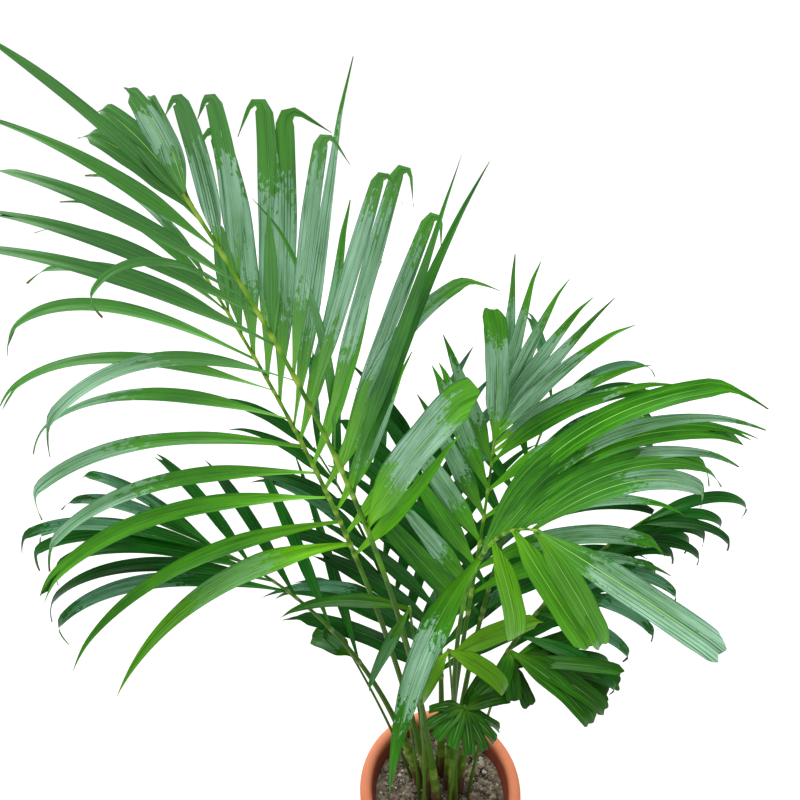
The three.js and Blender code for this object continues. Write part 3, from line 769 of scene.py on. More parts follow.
    @staticmethod
    def grain(p: Palette, wide: Socket, far: Socket, shift: Socket, density: Pair,
              detail: float) -> Socket:
        """Noise laid along the blade.

        Args:
            p: The material in the making.
            wide: Metres across.
            far: Metres along.
            shift: Where in the noise the leaflet lies.
            density: Cycles per metre across and along.
            detail: How many octaves it has.

        Returns:
            The noise, about 0.5.
        """
        place = p.vector(p.math("MULTIPLY", wide, density[0]), p.math("MULTIPLY", far, density[1]),
                         shift)
        return p.noise(place, 1.0, detail, 0.6)

    def film_mask(self, p: Palette, across: Socket, along: Socket, chance: Socket,
                  blots: Socket) -> Socket:
        """Where the painted pale sheen lies: the middle of a leaflet, ending rib by rib.

        Args:
            p: The material in the making.
            across: The place across, -1 to 1.
            along: The place along, 0 to 1.
            chance: The leaflet's own chance.
            blots: Blotchy noise.

        Returns:
            A mask from 0 to 1.
        """
        share, start, end = p.parts("film")
        strip = p.math("FLOOR", p.math("MULTIPLY", across, self.film_strips))
        place = p.math("ADD", strip, p.math("MULTIPLY", chance, 913.0))
        white = p.node("ShaderNodeTexWhiteNoise", {"W": place}, noise_dimensions="1D")
        ends = p.math("ADD", p.scale(white.outputs["Value"], -0.05, 0.05),
                      p.scale(blots, -0.22, 0.22))
        middle = p.math("ADD", along, ends)
        window = p.math("MULTIPLY",
                        p.step(p.math("SUBTRACT", middle, start), 0.0, 0.03),
                        p.step(p.math("SUBTRACT", end, middle), 0.0, 0.012))
        own = p.math("FRACT", p.math("MULTIPLY", chance, 7.31))
        some = p.step(p.math("SUBTRACT", share, own), -0.04, 0.02)
        gaps = p.math("MULTIPLY", p.step(blots, 0.72, 0.66), p.scale(share, 0.7, 1.0))
        return p.math("MULTIPLY", p.math("MULTIPLY", window, some), gaps)


@dataclass(frozen=True)
class StalkFinish:
    """A frond's stalk: yellow-green with pale swellings where the leaflets grow out.

    place is (round -1 to 1, along 0 to 1, swelling 0 to 1), and span is (metres round, metres
    along, chance).
    """

    name: str
    top: Colour
    under: Colour
    swelling: Colour
    petiole: Colour = (0.050, 0.135, 0.006)
    scurf: Colour = (0.10, 0.07, 0.03)

    def build(self) -> bpy.types.Material:
        """Makes the material.

        Returns:
            The material.
        """
        p = Palette(self.name)
        _, along, swelling = p.parts("place")
        metres_round, metres_along, chance = p.parts("span")
        fine = p.vector(p.math("MULTIPLY", metres_round, 1200.0),
                        p.math("MULTIPLY", metres_along, 30.0), chance)
        fibres = p.noise(fine, 1.0, 4.0, 0.6)
        patches = p.noise(p.object_place(28.0), 1.0, 3.0)
        # Random patches of the top colour: partly the stalk's own mottling, partly painted highlight.
        colour = p.blend(p.step(patches, 0.35, 0.7), self.under, self.top)
        colour = p.blend(p.step(along, 0.62, 0.40), colour, self.petiole)
        colour = p.blend(p.math("MULTIPLY", p.step(fibres, 0.5, 0.75), 0.45), colour, self.under)
        colour = p.blend(p.math("MULTIPLY", swelling, 0.8), colour, self.swelling)
        scurf = p.math("MULTIPLY", p.step(p.noise(p.object_place(420.0), 1.0, 2.0), 0.62, 0.72),
                       p.step(along, 0.75, 0.1))
        colour = p.blend(p.math("MULTIPLY", scurf, 0.6), colour, self.scurf)
        p.relief(fibres, 0.0002, 0.6)
        return p.finish(colour, p.scale(fibres, 0.32, 0.55), Specular_IOR_Level=0.12)


@dataclass(frozen=True)
class StemFinish:
    """The sheathed stem: green cane above, brown fibre at the soil, with dark rings.

    place is (round -1 to 1, along 0 to 1, torn sheath 0 to 1), and span as for a stalk.
    """

    name: str
    cane: Colour = (0.085, 0.17, 0.018)
    pale: Colour = (0.24, 0.36, 0.045)
    fibre: Colour = (0.14, 0.085, 0.042)
    speck: Colour = (0.05, 0.035, 0.02)

    def build(self) -> bpy.types.Material:
        """Makes the material.

        Returns:
            The material.
        """
        p = Palette(self.name)
        _, along, sheath = p.parts("place")
        metres_round, metres_along, chance = p.parts("span")
        fine = p.vector(p.math("MULTIPLY", metres_round, 900.0),
                        p.math("MULTIPLY", metres_along, 22.0), chance)
        fibres = p.noise(fine, 1.0, 5.0, 0.65)
        patches = p.noise(p.object_place(60.0), 1.0, 4.0)
        colour = p.blend(p.step(patches, 0.38, 0.66), self.cane, self.pale)
        colour = p.blend(p.math("MULTIPLY", p.step(fibres, 0.45, 0.7), 0.5), colour, self.cane)
        ragged = p.math("ADD", along, p.scale(fibres, -0.3, 0.3))
        brown = p.math("MAXIMUM", p.step(ragged, 0.42, 0.2), sheath)
        colour = p.blend(brown, colour, self.fibre)
        specks = p.step(p.noise(p.object_place(300.0), 1.0, 2.0), 0.62, 0.7)
        colour = p.blend(p.math("MULTIPLY", specks, 0.6), colour, self.speck)
        p.relief(fibres, 0.0006, 0.8)
        return p.finish(colour, p.scale(fibres, 0.4, 0.75), Specular_IOR_Level=0.15)


@dataclass(frozen=True)
class ClayFinish:
    """Fired clay: mottled orange outside, with painted shade making the inside wall above the soil darker
    and redder.

    place is (inside 0 or 1, height in metres, painted highlight on the top of the rim 0 to 1).
    """

    name: str = "terracotta"
    body: Colour = (0.58, 0.165, 0.075)
    light: Colour = (0.71, 0.255, 0.130)
    dark_grit_and_shade: Colour = (0.24, 0.050, 0.026)
    salt: Colour = (0.78, 0.62, 0.50)

    def build(self) -> bpy.types.Material:
        """Makes the material.

        Returns:
            The material.
        """
        p = Palette(self.name)
        inside, height, rim_highlight = p.parts("place")
        broad = p.noise(p.object_place(9.0), 1.0, 4.0)
        grit = p.noise(p.object_place(700.0), 1.0, 3.0, 0.7)
        blotches = p.noise(p.object_place(34.0), 1.0, 5.0, 0.62)
        colour = p.blend(p.step(broad, 0.35, 0.68), self.body, self.light)
        colour = p.blend(p.math("MULTIPLY", p.step(blotches, 0.5, 0.7), 0.45), colour, self.light)
        colour = p.blend(p.math("MULTIPLY", p.step(grit, 0.6, 0.72), 0.35), colour, self.dark_grit_and_shade)
        # Painted highlight: the top of the rim is lighter.
        colour = p.blend(p.math("MULTIPLY", rim_highlight, 0.35), colour, self.light)
        # Painted shade: the inside wall just above the soil is darker and redder, and a little less rough.
        inner_wall_shade = p.math("MULTIPLY", inside, p.step(p.math("ADD", height, p.scale(broad, -0.01, 0.01)),
                                                0.226, 0.214))
        colour = p.blend(inner_wall_shade, colour, self.dark_grit_and_shade)
        salt_and_sheen = p.math("MULTIPLY", p.step(blotches, 0.55, 0.72), p.step(height, 0.09, 0.015))
        colour = p.blend(p.math("MULTIPLY", salt_and_sheen, 0.6), colour, self.salt)
        rings = p.math("SINE", p.math("MULTIPLY", height, 2600.0))
        relief = p.math("ADD", grit, p.math("MULTIPLY", rings, 0.12))
        p.relief(p.math("ADD", relief, blotches), 0.0004, 0.55)
        rough = p.math("SUBTRACT", p.scale(grit, 0.68, 0.9), p.math("MULTIPLY", inner_wall_shade, 0.2))
        return p.finish(colour, rough, Specular_IOR_Level=0.3)


@dataclass(frozen=True)
class EarthFinish:
    """Loose earth, a crumb of it, or a chip: patchy in colour, rough and gritty."""

    name: str
    dark: Colour
    middle: Colour
    light: Colour
    scale: float = 240.0

    def build(self) -> bpy.types.Material:
        """Makes the material, in which place's third number is a crumb's own lightness.

        Returns:
            The material.
        """
        p = Palette(self.name)
        own = p.parts("place")[2]
        grains = p.noise(p.object_place(self.scale), 1.0, 6.0, 0.7)
        lumps = p.noise(p.object_place(self.scale * 0.22), 1.0, 4.0, 0.6)
        colour = p.blend(p.step(lumps, 0.35, 0.65), self.dark, self.middle)
        colour = p.blend(p.step(grains, 0.5, 0.72), colour, self.light)
        colour = p.blend(p.math("MULTIPLY", own, 0.6, clamp=True), colour, self.light)
        # Painted shade: the hollows of the grain relief are darkened.
        colour = p.blend(p.step(grains, 0.42, 0.30), colour, self.dark)
        p.relief(grains, 0.0012, 0.9)
        return p.finish(colour, p.scale(grains, 0.8, 1.0), Specular_IOR_Level=0.2)


# ---- leaflets ----
THREAD_FOLD: Pair = (0.85, 0.92)  # the stretch of its length in which a dry thread folds over
GREY_SHEEN_HEIGHT: Pair = (0.72, 1.10)  # leaflets from below the first height to above the second take more painted grey sheen
CLEFT_CHANCE = 0.16
THREAD_CHANCE = 0.55
DIRECTION_PLAY = 3  # degrees that chance adds to a leaflet's heading and rise, as in its solid
FALL_PLAY = 6
ROLL_PLAY = 5
LENGTH_PLAY = 0.05
TAPERS = {  # where a blade starts to narrow, how much it loses by its tip, and how late
    Tip.POINTED: (0.34, 0.97, 1.35),
    Tip.THREAD: (0.60, 0.50, 1.4),
    Tip.CLEFT: (0.6, 0.72, 1.9),
    Tip.CUT: (0.82, 0.24, 1.7),
}


@dataclass(frozen=True)
class Leaflet:
    """The values of one leaflet, and where it sits in its leaf."""

    along: float
    heading: float
    swing: float
    rise: float
    fall: float
    length: float
    width: float
    roll: float
    late: float
    tip: Tip
    chance: float
    film: Triple
    rib: float
    warm: float

    def heading_at(self, share: float) -> float:
        """The heading at a share of the way along."""
        return self.heading + self.swing * share

    def slope_at(self, share: float) -> float:
        """The slope at a share of the way along."""
        return lerp((self.rise, self.fall), share**self.late)

    def walk(self, base: np.ndarray, turn: float, shrink: float) -> np.ndarray:
        """The midline's points from the base, when turned sideways and shortened.

        Args:
            base: Where the leaflet leaves the stalk.
            turn: Degrees added to its heading.
            shrink: The share of its length that is left.

        Returns:
            The points, base first.
        """
        points = [base]
        step = self.length * shrink / BLADE_STEPS
        for i in range(BLADE_STEPS):
            share = (i + 0.5) / BLADE_STEPS
            move = direction(self.heading_at(share) + turn, self.slope_at(share))
            points.append(points[-1] + move * step)
        return np.array(points)


def leaflets_of(spray: Spray, seed: int) -> list[Leaflet]:
    """Every leaflet of a spray, each a little different.

    Args:
        spray: The row of leaflets.
        seed: A number of its own for the spray.

    Returns:
        The leaflets from the stalk's foot to its tip.
    """
    made = []
    loose = 1 if spray.count > 1 else 0
    for i in range(spray.count):
        share = i / (spray.count - 1) if loose else 0.0
        chance = (jitter(seed, i + 101) + 1) / 2
        if spray.blunt:
            tip = Tip.CUT
        elif spray.tip:
            tip = spray.tip
        elif chance < CLEFT_CHANCE:
            tip = Tip.CLEFT
        elif chance < THREAD_CHANCE:
            tip = Tip.THREAD
        else:
            tip = Tip.POINTED
        made.append(Leaflet(
            along=lerp(spray.along, share),
            heading=lerp(spray.heading, share) + DIRECTION_PLAY * loose * jitter(seed, i + 1),
            swing=lerp(spray.swing, share),
            rise=lerp(spray.rise, share) + DIRECTION_PLAY * loose * jitter(seed, i + 21),
            fall=lerp(spray.fall, share) + FALL_PLAY * loose * jitter(seed, i + 41),
            length=lerp(spray.length, share) * (1 + LENGTH_PLAY * loose * jitter(seed, i + 61)),
            width=lerp(spray.width, share),
            roll=lerp(spray.roll, share) + ROLL_PLAY * loose * jitter(seed, i + 81),
            late=spray.late,
            tip=tip,
            chance=(jitter(seed, i + 121) + 1) / 2,
            film=spray.film,
            rib=spray.rib,
            warm=spray.warm,
        ))
    return made


@dataclass
class Blade:
    """The closed skin of one leaflet: a folded, ribbed strap that narrows to its tip."""

    leaflet: Leaflet
    base: np.ndarray
    turn: float
    shrink: float
    stations: int = 38
    columns: int = 13
    fine_steps: int = 96
    twist: float = 24
    thickness: float = 0.00045
    fold: float = KEEL * 2
    pleat: float = 0.022
    wave: float = 0.0011
    midrib: float = 0.0006
    fold_softness: float = 0.012

    def half_width(self, share: np.ndarray) -> np.ndarray:
        """Half the width at each share of the length, in metres.

        Args:
            share: 0 at the base and 1 at the tip.

        Returns:
            The half widths, in the layout of the shares.
        """
        rise = 0.2 + 0.8 * ease(0.0, 0.36, share)
        start, loss, power = TAPERS[self.leaflet.tip]
        past = np.clip((share - start) / (1 - start), 0, 1)
        ripple = 1 + 0.015 * np.sin(share * 23 + self.leaflet.chance * 40)
        half = self.leaflet.width / 2 * rise * (1 - loss * past**power) * ripple
        if self.leaflet.tip is Tip.THREAD:
            folded = 1 - 0.72 * ease(*THREAD_FOLD, share)
            half = half * folded * (1 - 0.8 * ease(THREAD_FOLD[1], 1.0, share))
        return half

    def cut_back(self, across: np.ndarray) -> np.ndarray:
        """How far short of the tip each column ends, as a share of the length.

        Args:
            across: Each column, -1 to 1.

        Returns:
            A share for each column.
        """
        chance = self.leaflet.chance
        jag = np.sin(across * 5.3 + chance * 50)
        if self.leaflet.tip is Tip.CLEFT:
            return 0.13 * (1 - np.abs(across)) ** 1.4 + 0.04 * (across * (chance * 2 - 1) + 1) / 2
        if self.leaflet.tip is Tip.CUT:
            return 0.02 * (across * (chance * 4 - 2) + 2) + 0.012 * jag + 0.045 * across**4
        return np.zeros_like(across)

    def hook(self) -> float:
        """How many degrees the last stretch of the blade tips over by.

        Returns:
            Degrees, upwards positive.
        """
        leaf = self.leaflet
        if leaf.tip is not Tip.THREAD:
            return -14.0 * leaf.chance
        if leaf.fall > 92:
            return 120 + 50 * leaf.chance
        return -(110 + 50 * leaf.chance) if leaf.fall > 40 else -(10 + 35 * leaf.chance)

    def slope(self, share: float) -> float:
        """The slope at a share of the length, with the tip's own bend."""
        return self.leaflet.slope_at(share) + self.hook() * float(ease(*THREAD_FOLD, share))

    def midline(self) -> np.ndarray:
        """Finely spaced points along the middle of the blade.

        Returns:
            The points, base first.
        """
        points = [self.base]
        step = self.leaflet.length * self.shrink / self.fine_steps
        for i in range(self.fine_steps):
            share = (i + 0.5) / self.fine_steps
            heading = self.leaflet.heading_at(share) + self.turn
            points.append(points[-1] + direction(heading, self.slope(share)) * step)
        return np.array(points)

    def add_to(self, draft: Draft, grey_sheen: float) -> None:
        """Adds the blade's skin to a draft.

        Args:
            draft: Where the skin goes.
            grey_sheen: How much painted grey sheen dulls its green, 0 to 1.
        """
        leaf = self.leaflet
        share = 1 - (1 - np.linspace(0, 1, self.stations)) ** 1.25
        across = np.sin(np.linspace(-1, 1, self.columns) * math.pi / 2 * 0.92)
        across /= across[-1]
        ends = self.cut_back(across)
        grid = share[:, None] - ends[None, :] * ease(0.7, 1.0, share)[:, None]
        spots = points_at(self.midline(), grid)
        frames = [self.axes(s) for s in share]
        side = np.array([f[0] for f in frames])
        face = np.array([f[1] for f in frames])
        half = self.half_width(grid)
        out = np.abs(across)[None, :]
        rounded = np.sqrt(out**2 + self.fold_softness) - math.sqrt(self.fold_softness)
        ribs = 0.5 - 0.5 * np.cos(across * math.pi * 3.85)[None, :]
        height = half * (self.fold * rounded - 2 * self.pleat * ribs)
        height = height + self.wave * out * np.sin(grid * 9 + leaf.chance * 30 + across * 1.5)
        top = spots + side[:, None, :] * (half * across)[..., None]
        top = top + face[:, None, :] * height[..., None]
        body = self.thickness * (0.35 + 0.65 * np.sqrt(np.clip(1 - across**2, 0, 1)))
        rib = self.midrib * np.exp(-((across / 0.1) ** 2))[None, :] * ease(1.0, 0.6, grid)
        drop = body[None, :] * np.minimum(1, half / 0.002) + rib * np.minimum(1, half / 0.006)
        under = top - face[:, None, :] * drop[..., None]
        rings = np.concatenate([top, under[:, -2:0:-1]], axis=1)
        cols = np.concatenate([across, across[-2:0:-1]])
        grid = np.concatenate([grid, grid[:, -2:0:-1]], axis=1)
        half = np.concatenate([half, half[:, -2:0:-1]], axis=1)
        flat = np.ones_like(grid)
        place = np.stack([cols * flat, grid, leaf.chance * flat], axis=-1)
        dry = 0.3 if leaf.tip is Tip.POINTED else 0.85
        span = np.stack([cols * half, grid * leaf.length, dry * flat], axis=-1)
        draft.skin(rings, place, span, (leaf.rib, grey_sheen, leaf.warm), leaf.film)

    def axes(self, share: float) -> tuple[np.ndarray, np.ndarray]:
        """The directions across the blade and out of its face at a share of its length.

        Args:
            share: 0 at the base and 1 at the tip.

        Returns:
            The direction across, and the direction out of the face.
        """
        leaf = self.leaflet
        heading = leaf.heading_at(share) + self.turn
        along = direction(heading, self.slope(share))
        level = direction(heading - 90, 0)
        up = np.cross(level, along)
        twist = (leaf.chance * 2 - 1) * self.twist * (share - 0.3)
        roll = math.radians(leaf.roll + twist)
        side = level * math.cos(roll) + up * math.sin(roll)
        return side, np.cross(side, along)


# ---- whole leaves ----
@dataclass
class PalmLeaf:
    """One leaf of the clump: its sheathed stem, its stalk and its leaflets."""

    leaf: Leaf
    number: int
    path: np.ndarray = field(init=False)
    blades: list[Blade] = field(init=False, default_factory=list)
    stalk_sides: int = 14
    stalk_rings: int = 150
    stem_sides: int = 20
    stem_rings: int = 60
    swelling_size: float = 0.28
    swelling_length: float = 0.0035
    groove_depth: float = 0.10

    def __post_init__(self) -> None:
        """Works out the stalk's path and finds each leaflet's place in the frame."""
        self.path = self.stalk_path()
        tree = self.corners()
        for row, spray in enumerate(self.leaf.sprays):
            for leaflet in leaflets_of(spray, self.number * 10 + row):
                self.blades.append(self.fitted(leaflet, tree))

    def stalk_path(self) -> np.ndarray:
        """The points of the stalk, from the soil to its tip.

        Returns:
            The points, foot first.
        """
        leaf = self.leaf
        points = [np.array([*leaf.foot, SOIL_TOP])]
        for i in range(PATH_STEPS):
            share = (i + 0.5) / PATH_STEPS
            slope = 90 - lerp(leaf.lean, share**leaf.bend)
            move = direction(leaf.heading + leaf.swing * share, slope)
            points.append(points[-1] + move * leaf.length / PATH_STEPS)
        return np.array(points)

    def corners(self) -> kdtree.KDTree:
        """The corners of this leaf's solid, ready to look up.

        Returns:
            A tree of the corners.
        """
        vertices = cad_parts[self.leaf.name].data.vertices
        tree = kdtree.KDTree(len(vertices))
        for vertex in vertices:
            tree.insert(vertex.co, vertex.index)
        tree.balance()
        return tree

    def fitted(self, leaflet: Leaflet, tree: kdtree.KDTree) -> Blade:
        """The leaflet as its solid has it: turned or shortened where another frond is close.

        Args:
            leaflet: The leaflet before it is fitted.
            tree: The corners of the leaf's solid.

        Returns:
            The blade whose end meets the solid's, or the nearest one, with a warning.
        """
        base = point_at(self.path, min(leaflet.along, 1 - TIP_INSET / self.leaf.length))
        nearest = (math.inf, 0.0, 1.0)
        for shrink in SHRINKS:
            for turn in TURNS:
                end = leaflet.walk(base, turn, shrink)[-1]
                gap = tree.find(Vector(end))[2]
                if gap < MATCH:
                    return Blade(leaflet, base, turn, shrink)
                nearest = min(nearest, (gap, turn, shrink))
        LOG.warning("%s: a leaflet is %.1f mm off its solid", self.leaf.name, nearest[0] * 1000)
        return Blade(leaflet, base, nearest[1], nearest[2])

    def stretch(self, start: float, end: float, count: int) -> np.ndarray:
        """Evenly spaced points of the path between two distances above the foot.

        Args:
            start: The first distance, which may be below the foot.
            end: The last distance.
            count: How many points.

        Returns:
            The points.
        """
        down = self.path[0] - self.path[1]
        down /= np.linalg.norm(down)
        distances = np.linspace(start, end, count)
        points = points_at(self.path, np.maximum(distances, 0) / self.leaf.length)
        return points + down * np.maximum(-distances, 0)[:, None]

    def tube(self, draft: Draft, points: np.ndarray, radii: np.ndarray, glow: np.ndarray,
             sides: int) -> None:
        """Adds a closed tube along points.

        Args:
            draft: Where the tube goes.
            points: The middle of each ring.
            radii: The radius, by ring and by place round it.
            glow: The finish's third place number, by ring and by place round it.
            sides: How many points a ring has.
        """
        along = np.gradient(points, axis=0)
        along /= np.linalg.norm(along, axis=1)[:, None]
        side = np.cross(np.array([0.0, 1.0, 0.0]), along)
        side /= np.linalg.norm(side, axis=1)[:, None]
        front = np.cross(along, side)
        angle = 2 * math.pi * np.arange(sides) / sides
        out = (side[:, None, :] * np.cos(angle)[None, :, None]
               + front[:, None, :] * np.sin(angle)[None, :, None])
        rings = points[:, None, :] + out * radii[..., None]
        steps = np.linalg.norm(np.diff(points, axis=0), axis=1)
        travelled = np.concatenate([[0], np.cumsum(steps)])
        flat = np.ones((len(points), sides))
        around = np.abs(np.linspace(-1, 1, sides, endpoint=False))[None, :] * flat
        place = np.stack([around, (travelled / travelled[-1])[:, None] * flat, glow], axis=-1)
        span = np.stack([around * radii * math.pi, travelled[:, None] * flat,
                         flat * self.number * 3.7], axis=-1)
        draft.skin(rings, place, span)

    def build_stalk(self, finish: bpy.types.Material) -> bpy.types.Object:
        """Grows the stalk, a little swollen where each leaflet leaves it.

        Args:
            finish: Its material.

        Returns:
            The new object.
        """
        leaf = self.leaf
        seedling = leaf.tone is Tone.SEEDLING
        start = -STEM_DEPTH if seedling else STEM_HEIGHT - 0.004
        taper = SEEDLING_RADIUS if seedling else STALK_RADIUS
        distances = np.linspace(start, leaf.length - 0.001, self.stalk_rings)
        share = (distances - start) / (leaf.length - start)
        radius = taper[0] + (taper[1] - taper[0]) * share
        if not seedling:
            radius = radius + 0.0012 * np.exp(-(distances - start) / 0.03)
        swelling = np.zeros_like(distances)
        for blade in self.blades:
            gap = distances - min(blade.leaflet.along * leaf.length, leaf.length - TIP_INSET)
            swelling = np.maximum(swelling, np.exp(-((gap / self.swelling_length) ** 2)))
        radius = radius * (1 + self.swelling_size * swelling)
        angle = 2 * math.pi * np.arange(self.stalk_sides) / self.stalk_sides
        groove = 1 - self.groove_depth * np.exp(-(((angle - math.pi / 2) / 0.5) ** 2))
        draft = Draft()
        flat = np.ones((self.stalk_rings, self.stalk_sides))
        self.tube(draft, self.stretch(start, leaf.length - 0.001, self.stalk_rings),
                  radius[:, None] * groove[None, :], swelling[:, None] * flat, self.stalk_sides)
        return draft.piece(f"{leaf.name}_stalk", finish, leaf.tone.value)

    def build_stem(self, finish: bpy.types.Material) -> bpy.types.Object:
        """Grows the stem: ringed cane in a torn sheath, swollen at the soil.

        Args:
            finish: Its material.

        Returns:
            The new object.
        """
        leaf = self.leaf
        distances = np.linspace(-STEM_DEPTH, STEM_HEIGHT, self.stem_rings)
        share = (distances + STEM_DEPTH) / (STEM_HEIGHT + STEM_DEPTH)
        radius = STEM_RADIUS[0] + (STEM_RADIUS[1] - STEM_RADIUS[0]) * share
        radius = radius * (1 + 0.10 * np.exp(-((distances / 0.012) ** 2)))
        angle = 2 * math.pi * np.arange(self.stem_sides) / self.stem_sides
        torn = 0.045 + 0.014 * np.sin(angle * 3 + self.number) + 0.008 * np.sin(angle * 7)
        sheath = ease(0.003, -0.003, distances[:, None] - torn[None, :])
        ribbed = 1 + 0.025 * np.sin(angle * 6)[None, :]
        rings = 1 + 0.03 * np.exp(-(((distances % 0.031) - 0.0155) / 0.0016) ** 2)
        draft = Draft()
        self.tube(draft, self.stretch(-STEM_DEPTH, STEM_HEIGHT, self.stem_rings),
                  radius[:, None] * ribbed * rings[:, None] + 0.0009 * sheath, sheath,
                  self.stem_sides)
        name = leaf.name.replace("frond", "stem")
        piece = draft.piece(f"{name}_cane", finish, "stem")
        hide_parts(name)
        return piece

    def build_blades(self, finish: bpy.types.Material) -> bpy.types.Object:
        """Grows every leaflet of the leaf as one piece.

        Args:
            finish: Their material.

        Returns:
            The new object.
        """
        draft = Draft()
        for blade in self.blades:
            # Higher leaflets take more painted grey sheen.
            grey_sheen = float(ease(*GREY_SHEEN_HEIGHT, blade.base[2]))
            blade.add_to(draft, grey_sheen)
        piece = draft.piece(f"{self.leaf.name}_blades", finish, self.leaf.tone.value)
        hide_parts(self.leaf.name)
        return piece


# ---- the pot and its soil ----
@dataclass
class Pot:
    """A round tapering clay pot with a thick rolled rim and three drain holes."""

    height: float = 0.230
    base_radius: float = 0.084
    shoulder_radius: float = 0.111
    rim_radius: float = 0.124
    rim_height: float = 0.030
    rim_width: float = 0.018
    wall: float = 0.010
    floor: float = 0.012
    segments: int = 144
    drain_count: int = 3
    drain_radius: float = 0.006
    drain_circle: float = 0.038

    def inside(self, height: float) -> float:
        """The inside radius of the wall at a height."""
        slope = (self.shoulder_radius - self.base_radius) / (self.height - self.rim_height)
        return min(self.base_radius + slope * height - self.wall,
                   self.rim_radius - self.rim_width)

    @staticmethod
    def arc(centre: Pair, radius: float, start: float, end: float,
            steps: int) -> list[Pair]:
        """Points on an arc of the section, from one angle to another in degrees."""
        angles = [math.radians(start + (end - start) * i / steps) for i in range(steps + 1)]
        return [(centre[0] + radius * math.cos(a), centre[1] + radius * math.sin(a))
                for a in angles]

    @staticmethod
    def line(start: Pair, end: Pair, steps: int) -> list[Pair]:
        """Points on a straight stretch of the section, without its first."""
        return [(start[0] + (end[0] - start[0]) * i / steps,
                 start[1] + (end[1] - start[1]) * i / steps) for i in range(1, steps + 1)]

    def outside(self) -> list[Pair]:
        """The section from the middle of the underside up to the top of the rim.

        Returns:
            Pairs of radius and height.
        """
        under = self.height - self.rim_height
        bead, corner = self.rim_width / 2, 0.004
        foot = self.arc((self.base_radius - corner, corner), corner, -90, 0, 5)
        lip = self.arc((self.rim_radius - corner, under + corner), corner, -90, 0, 5)
        roll = self.arc((self.rim_radius - bead, self.height - bead), bead, 0, 90, 9)
        neck = (self.shoulder_radius, under)
        wall = self.line(foot[-1], neck, 16)
        return [(0.0, 0.0), (self.drain_circle, 0.0), *foot, *wall, *lip, *roll]

    def within(self) -> list[Pair]:
        """The section from the top of the rim down to the middle of the floor.

        Returns:
            Pairs of radius and height.
        """
        bead = self.rim_width / 2
        under = self.height - self.rim_height - 0.004
        roll = self.arc((self.rim_radius - bead, self.height - bead), bead, 100, 180, 8)
        ledge = (self.inside(under), under)
        bottom = (self.inside(self.floor), self.floor)
        return [*roll, ledge, *self.line(ledge, bottom, 8), (self.drain_circle, self.floor),
                (0.0, self.floor)]

    def build(self, finish: bpy.types.Material) -> bpy.types.Object:
        """Turns the section round the axis, a little uneven as thrown clay is.

        Args:
            finish: Its material.

        Returns:
            The new object.
        """
        outside, within = self.outside(), self.within()
        section = outside + within
        hollow = [0.0] * len(outside) + [1.0] * len(within)
        points: list[Triple] = []
        for radius, height in section[1:-1]:
            for k in range(self.segments):
                angle = 2 * math.pi * k / self.segments
                uneven = noise.noise(Vector((math.cos(angle), math.sin(angle), height * 9)))
                reach = radius + 0.0004 * uneven * min(1, radius / self.base_radius)
                points.append((reach * math.cos(angle), reach * math.sin(angle), height))
        rows, turn = len(section) - 2, self.segments
        faces: list[tuple[int, ...]] = []
        for r in range(rows - 1):
            for k in range(turn):
                a, b = r * turn + k, r * turn + (k + 1) % turn
                faces.append((a, b, b + turn, a + turn))
        bottom, top = len(points), len(points) + 1
        points += [(0.0, 0.0, section[0][1]), (0.0, 0.0, section[-1][1])]
        last = (rows - 1) * turn
        for k in range(turn):
            faces.append((bottom, (k + 1) % turn, k))
            faces.append((top, last + k, last + (k + 1) % turn))
        draft = Draft()
        heights = np.array([p[2] for p in points])
        radii = np.hypot([p[0] for p in points], [p[1] for p in points])
        inner = np.concatenate([np.repeat(hollow[1:-1], turn), [0.0, 1.0]])
        # Painted highlight on the top of the rim, for the finish to read.
        rim_highlight = ease(0.006, 0.001, self.height - heights) * ease(0.100, 0.106, radii)
        draft.solid(np.array(points), faces, (0, 0, 0), np.zeros((len(points), 3)))
        draft.places[0] = np.stack([inner, heights, rim_highlight], axis=-1)
        piece = draft.piece("clay_pot", finish, "clay", sharp=35)
        self.drill(piece)
        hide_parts("pot")
        return piece

    def drill(self, piece: bpy.types.Object) -> None:
        """Cuts the drain holes through the pot's floor.

        Args:
            piece: The pot's object.
        """
        shape = bmesh.new()
        for i in range(self.drain_count):
            angle = 2 * math.pi * i / self.drain_count
            made = bmesh.ops.create_cone(shape, cap_ends=True, segments=32,
                                         radius1=self.drain_radius, radius2=self.drain_radius,
                                         depth=self.floor * 3)
            shift = Vector((math.cos(angle), math.sin(angle), 0)) * self.drain_circle
            bmesh.ops.translate(shape, vec=shift, verts=made["verts"])
        mesh = bpy.data.meshes.new("drills")
        shape.to_mesh(mesh)
        shape.free()
        drills = bpy.data.objects.new("drills", mesh)
        bpy.context.scene.collection.objects.link(drills)
        cut = piece.modifiers.new("drains", "BOOLEAN")
        cut.operation = "DIFFERENCE"
        cut.solver = "EXACT"
        cut.object = drills
        bpy.context.view_layer.update()
        graph = bpy.context.evaluated_depsgraph_get()
        result = bpy.data.meshes.new_from_object(piece.evaluated_get(graph))
        piece.modifiers.remove(cut)
        piece.data = result
        bpy.data.objects.remove(drills)


